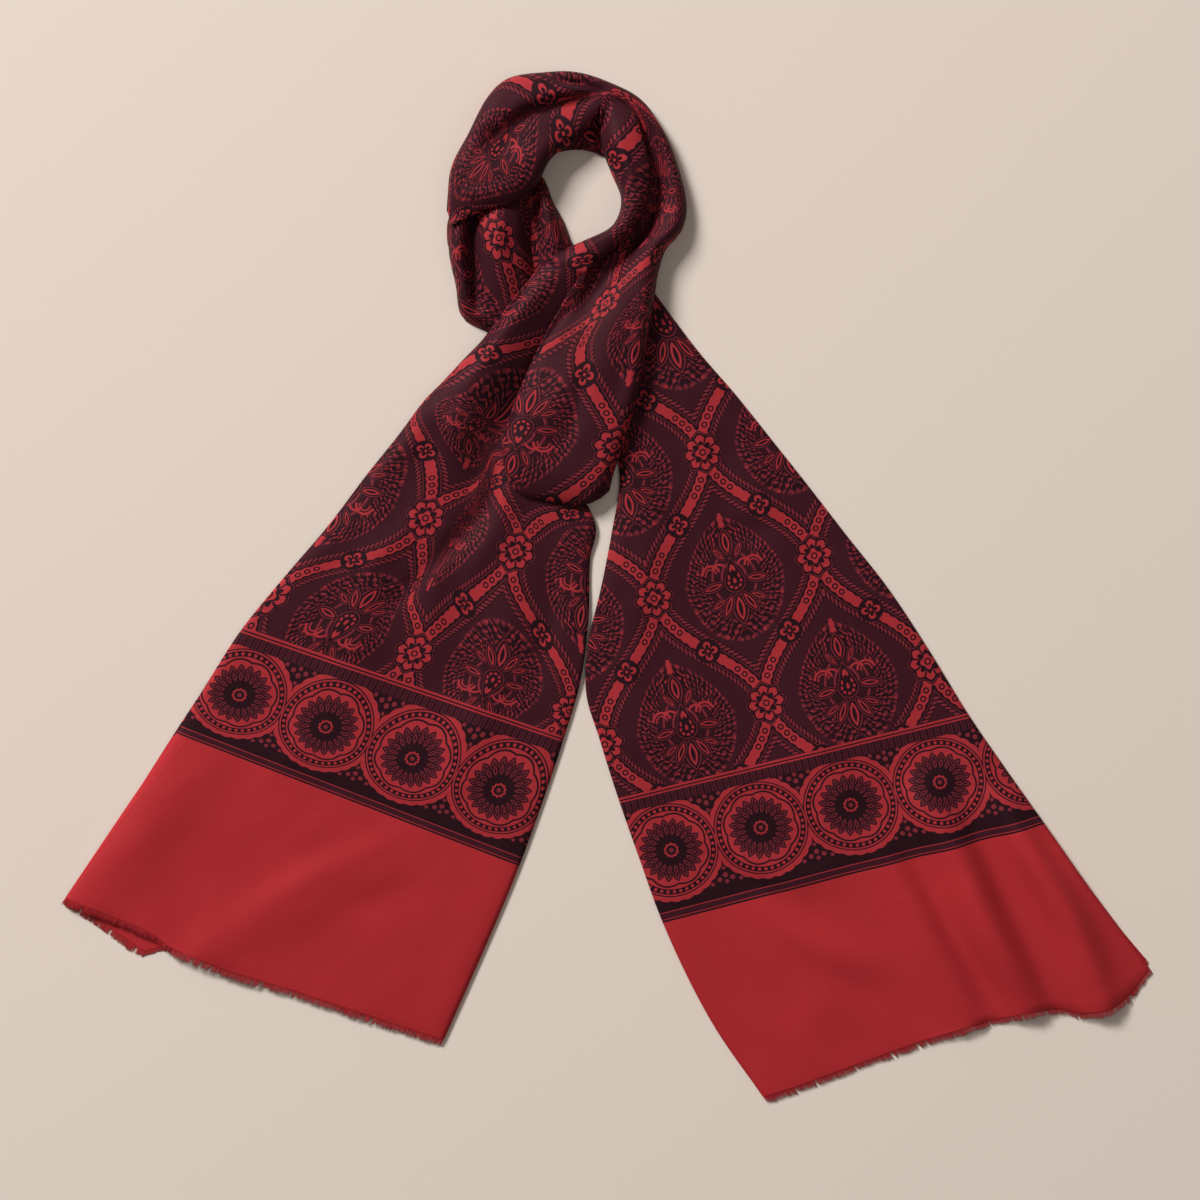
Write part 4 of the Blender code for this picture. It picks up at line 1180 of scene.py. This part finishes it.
def silk(name, ink_of):
    """A soft silk whose ink a function works out from the place on the cloth."""
    look = bpy.data.materials.new(name)
    look.use_nodes = True
    shader = look.node_tree.nodes["Principled BSDF"]
    place = look.node_tree.nodes.new("ShaderNodeUVMap")
    place.uv_map = "cloth"
    split = worked_out("ShaderNodeSeparateXYZ", {0: Number(place.outputs["UV"])}).socket.node
    u, v = (Number(split.outputs[axis]) * (1 / MM) for axis in (0, 1))

    stitches, wear = seam(u, v, number("MINIMUM", u, CUT_WIDTH - u))
    relief = weave(u, v) - stitches * STITCH_DEPTH
    uneven = noise(u, v, *TONE_PATCH)
    bright = relief * 0.22 + uneven * 0.18 + wear * 0.16 + SILK_BRIGHTNESS
    tint = {"Color": ink_colour(ink_of(u, v)), "Value": bright}
    bump = {"Height": relief, "Strength": RELIEF_STRENGTH, "Distance": RELIEF_DEPTH}
    finish = {
        "Base Color": worked_out("ShaderNodeHueSaturation", tint),
        "Roughness": uneven * 0.14 + wear * 0.2 + SILK_ROUGHNESS,
        "Normal": worked_out("ShaderNodeBump", bump),
        **SILK_FINISH,
    }
    for part, value in finish.items():
        feed(shader.inputs[part], value)
    return look


def lay_floor():
    """The pale floor, which isn't part of the scarf."""
    look = bpy.data.materials.new("pale_floor")
    look.use_nodes = True
    finish = look.node_tree.nodes["Principled BSDF"].inputs
    feed(finish["Base Color"], FLOOR_COLOUR)
    feed(finish["Roughness"], FLOOR_ROUGHNESS)
    corners = [(x * FLOOR_HALF, y * FLOOR_HALF, 0) for x, y in ((-1, -1), (1, -1), (1, 1), (-1, 1))]
    mesh = bpy.data.meshes.new("floor")
    mesh.from_pydata(corners, [], [(0, 1, 2, 3)])
    mesh.materials.append(look)
    placed("floor", mesh)


def light():
    """The soft square lights, which face the scarf, and the glow all round."""
    for name, place, width, power, colour in LIGHTS:
        lamp = bpy.data.lights.new(name, "AREA")
        lamp.shape = "SQUARE"
        lamp.size = width
        lamp.energy = power
        lamp.color = colour
        holder = placed(name, lamp)
        holder.location = place
        holder.rotation_euler = (-Vector(place)).to_track_quat("-Z", "Y").to_euler()
    world = bpy.data.worlds.new("studio")
    world.use_nodes = True
    glow = world.node_tree.nodes["Background"].inputs
    feed(glow["Color"], SKY_COLOUR)
    feed(glow["Strength"], SKY_STRENGTH)
    bpy.context.scene.world = world


def aim_camera():
    """The camera of the photograph."""
    lens = bpy.data.cameras.new("camera")
    lens.sensor_width = SENSOR
    lens.lens = SENSOR * VIEW_HEIGHT / VIEW_WIDTH
    lens.clip_start = 0.05
    lens.clip_end = 20
    camera = placed("camera", lens)
    camera.location = metres((*VIEW_CENTRE, VIEW_HEIGHT))
    bpy.context.scene.camera = camera
    bpy.context.scene.view_settings.view_transform = "Standard"


def build_scarf(printed, plain):
    """The pieces, from the lowest up."""
    right_back, right_front, left_back, rise, inner, wrap = lay_scarf()
    return [
        shell("right_panel_back", right_back.points, right_back.cloth(), printed),
        threads("right_threads_back", right_back.points, plain, 1),
        shell("right_panel_front", *curled(right_front), printed),
        threads("right_threads_front", right_front.points, plain, 2),
        shell("left_panel_back", left_back.points, left_back.cloth(), printed),
        threads("left_threads_back", left_back.points, plain, 3),
        shell("loop_rise", *curled(rise), printed),
        shell("loop_and_bulge", *curled(wrap), printed),
        shell("left_panel_front", *curled(inner), printed),
        threads("left_threads_front", inner.points, plain, 4),
        shell("tucked_folds", *tucked_folds(right_front, (rise, wrap, inner)), printed),
    ]


# The CAD nodes that each piece stands for
STANDS_FOR = {
    "right_panel_front": ("right_tail_front",),
    "right_panel_back": ("right_tail_back",),
    "left_panel_front": ("loop_right_inner", "crossing_inner", "left_tail_front"),
    "left_panel_back": ("left_tail_back",),
    "loop_rise": ("loop_left",),
    "loop_and_bulge": ("loop_top", "loop_right_outer", "crossing_outer"),
    "tucked_folds": ("tucked_layers",),
    "right_threads_front": ("right_fringe_front",),
    "right_threads_back": ("right_fringe_back",),
    "left_threads_front": ("left_fringe_front",),
    "left_threads_back": ("left_fringe_back",),
}


def declare(pieces):
    """Put each piece on the root body and hide the CAD nodes it stands for; each sheet's flat size is
    worked out but not used.
    """
    for name, piece in pieces.items():
        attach(piece, "root")
        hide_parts(*STANDS_FOR[name])
        "plain_red_silk" if "threads" in name else "printed_silk"
    for name, piece in pieces.items():
        if "threads" not in name:
            area = sum(face.area for face in piece.data.polygons)
            flat = (CUT_WIDTH * MM, area / (CUT_WIDTH * MM))
            fringe = [pieces[name.replace("panel", "threads")]] if "panel" in name else []


def main():
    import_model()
    pieces = build_scarf(silk("printed_silk", scarf_print), silk("plain_red_silk", frayed_yarn))
    declare({piece.name: piece for piece in pieces})
    lay_floor()
    light()
    aim_camera()


main()
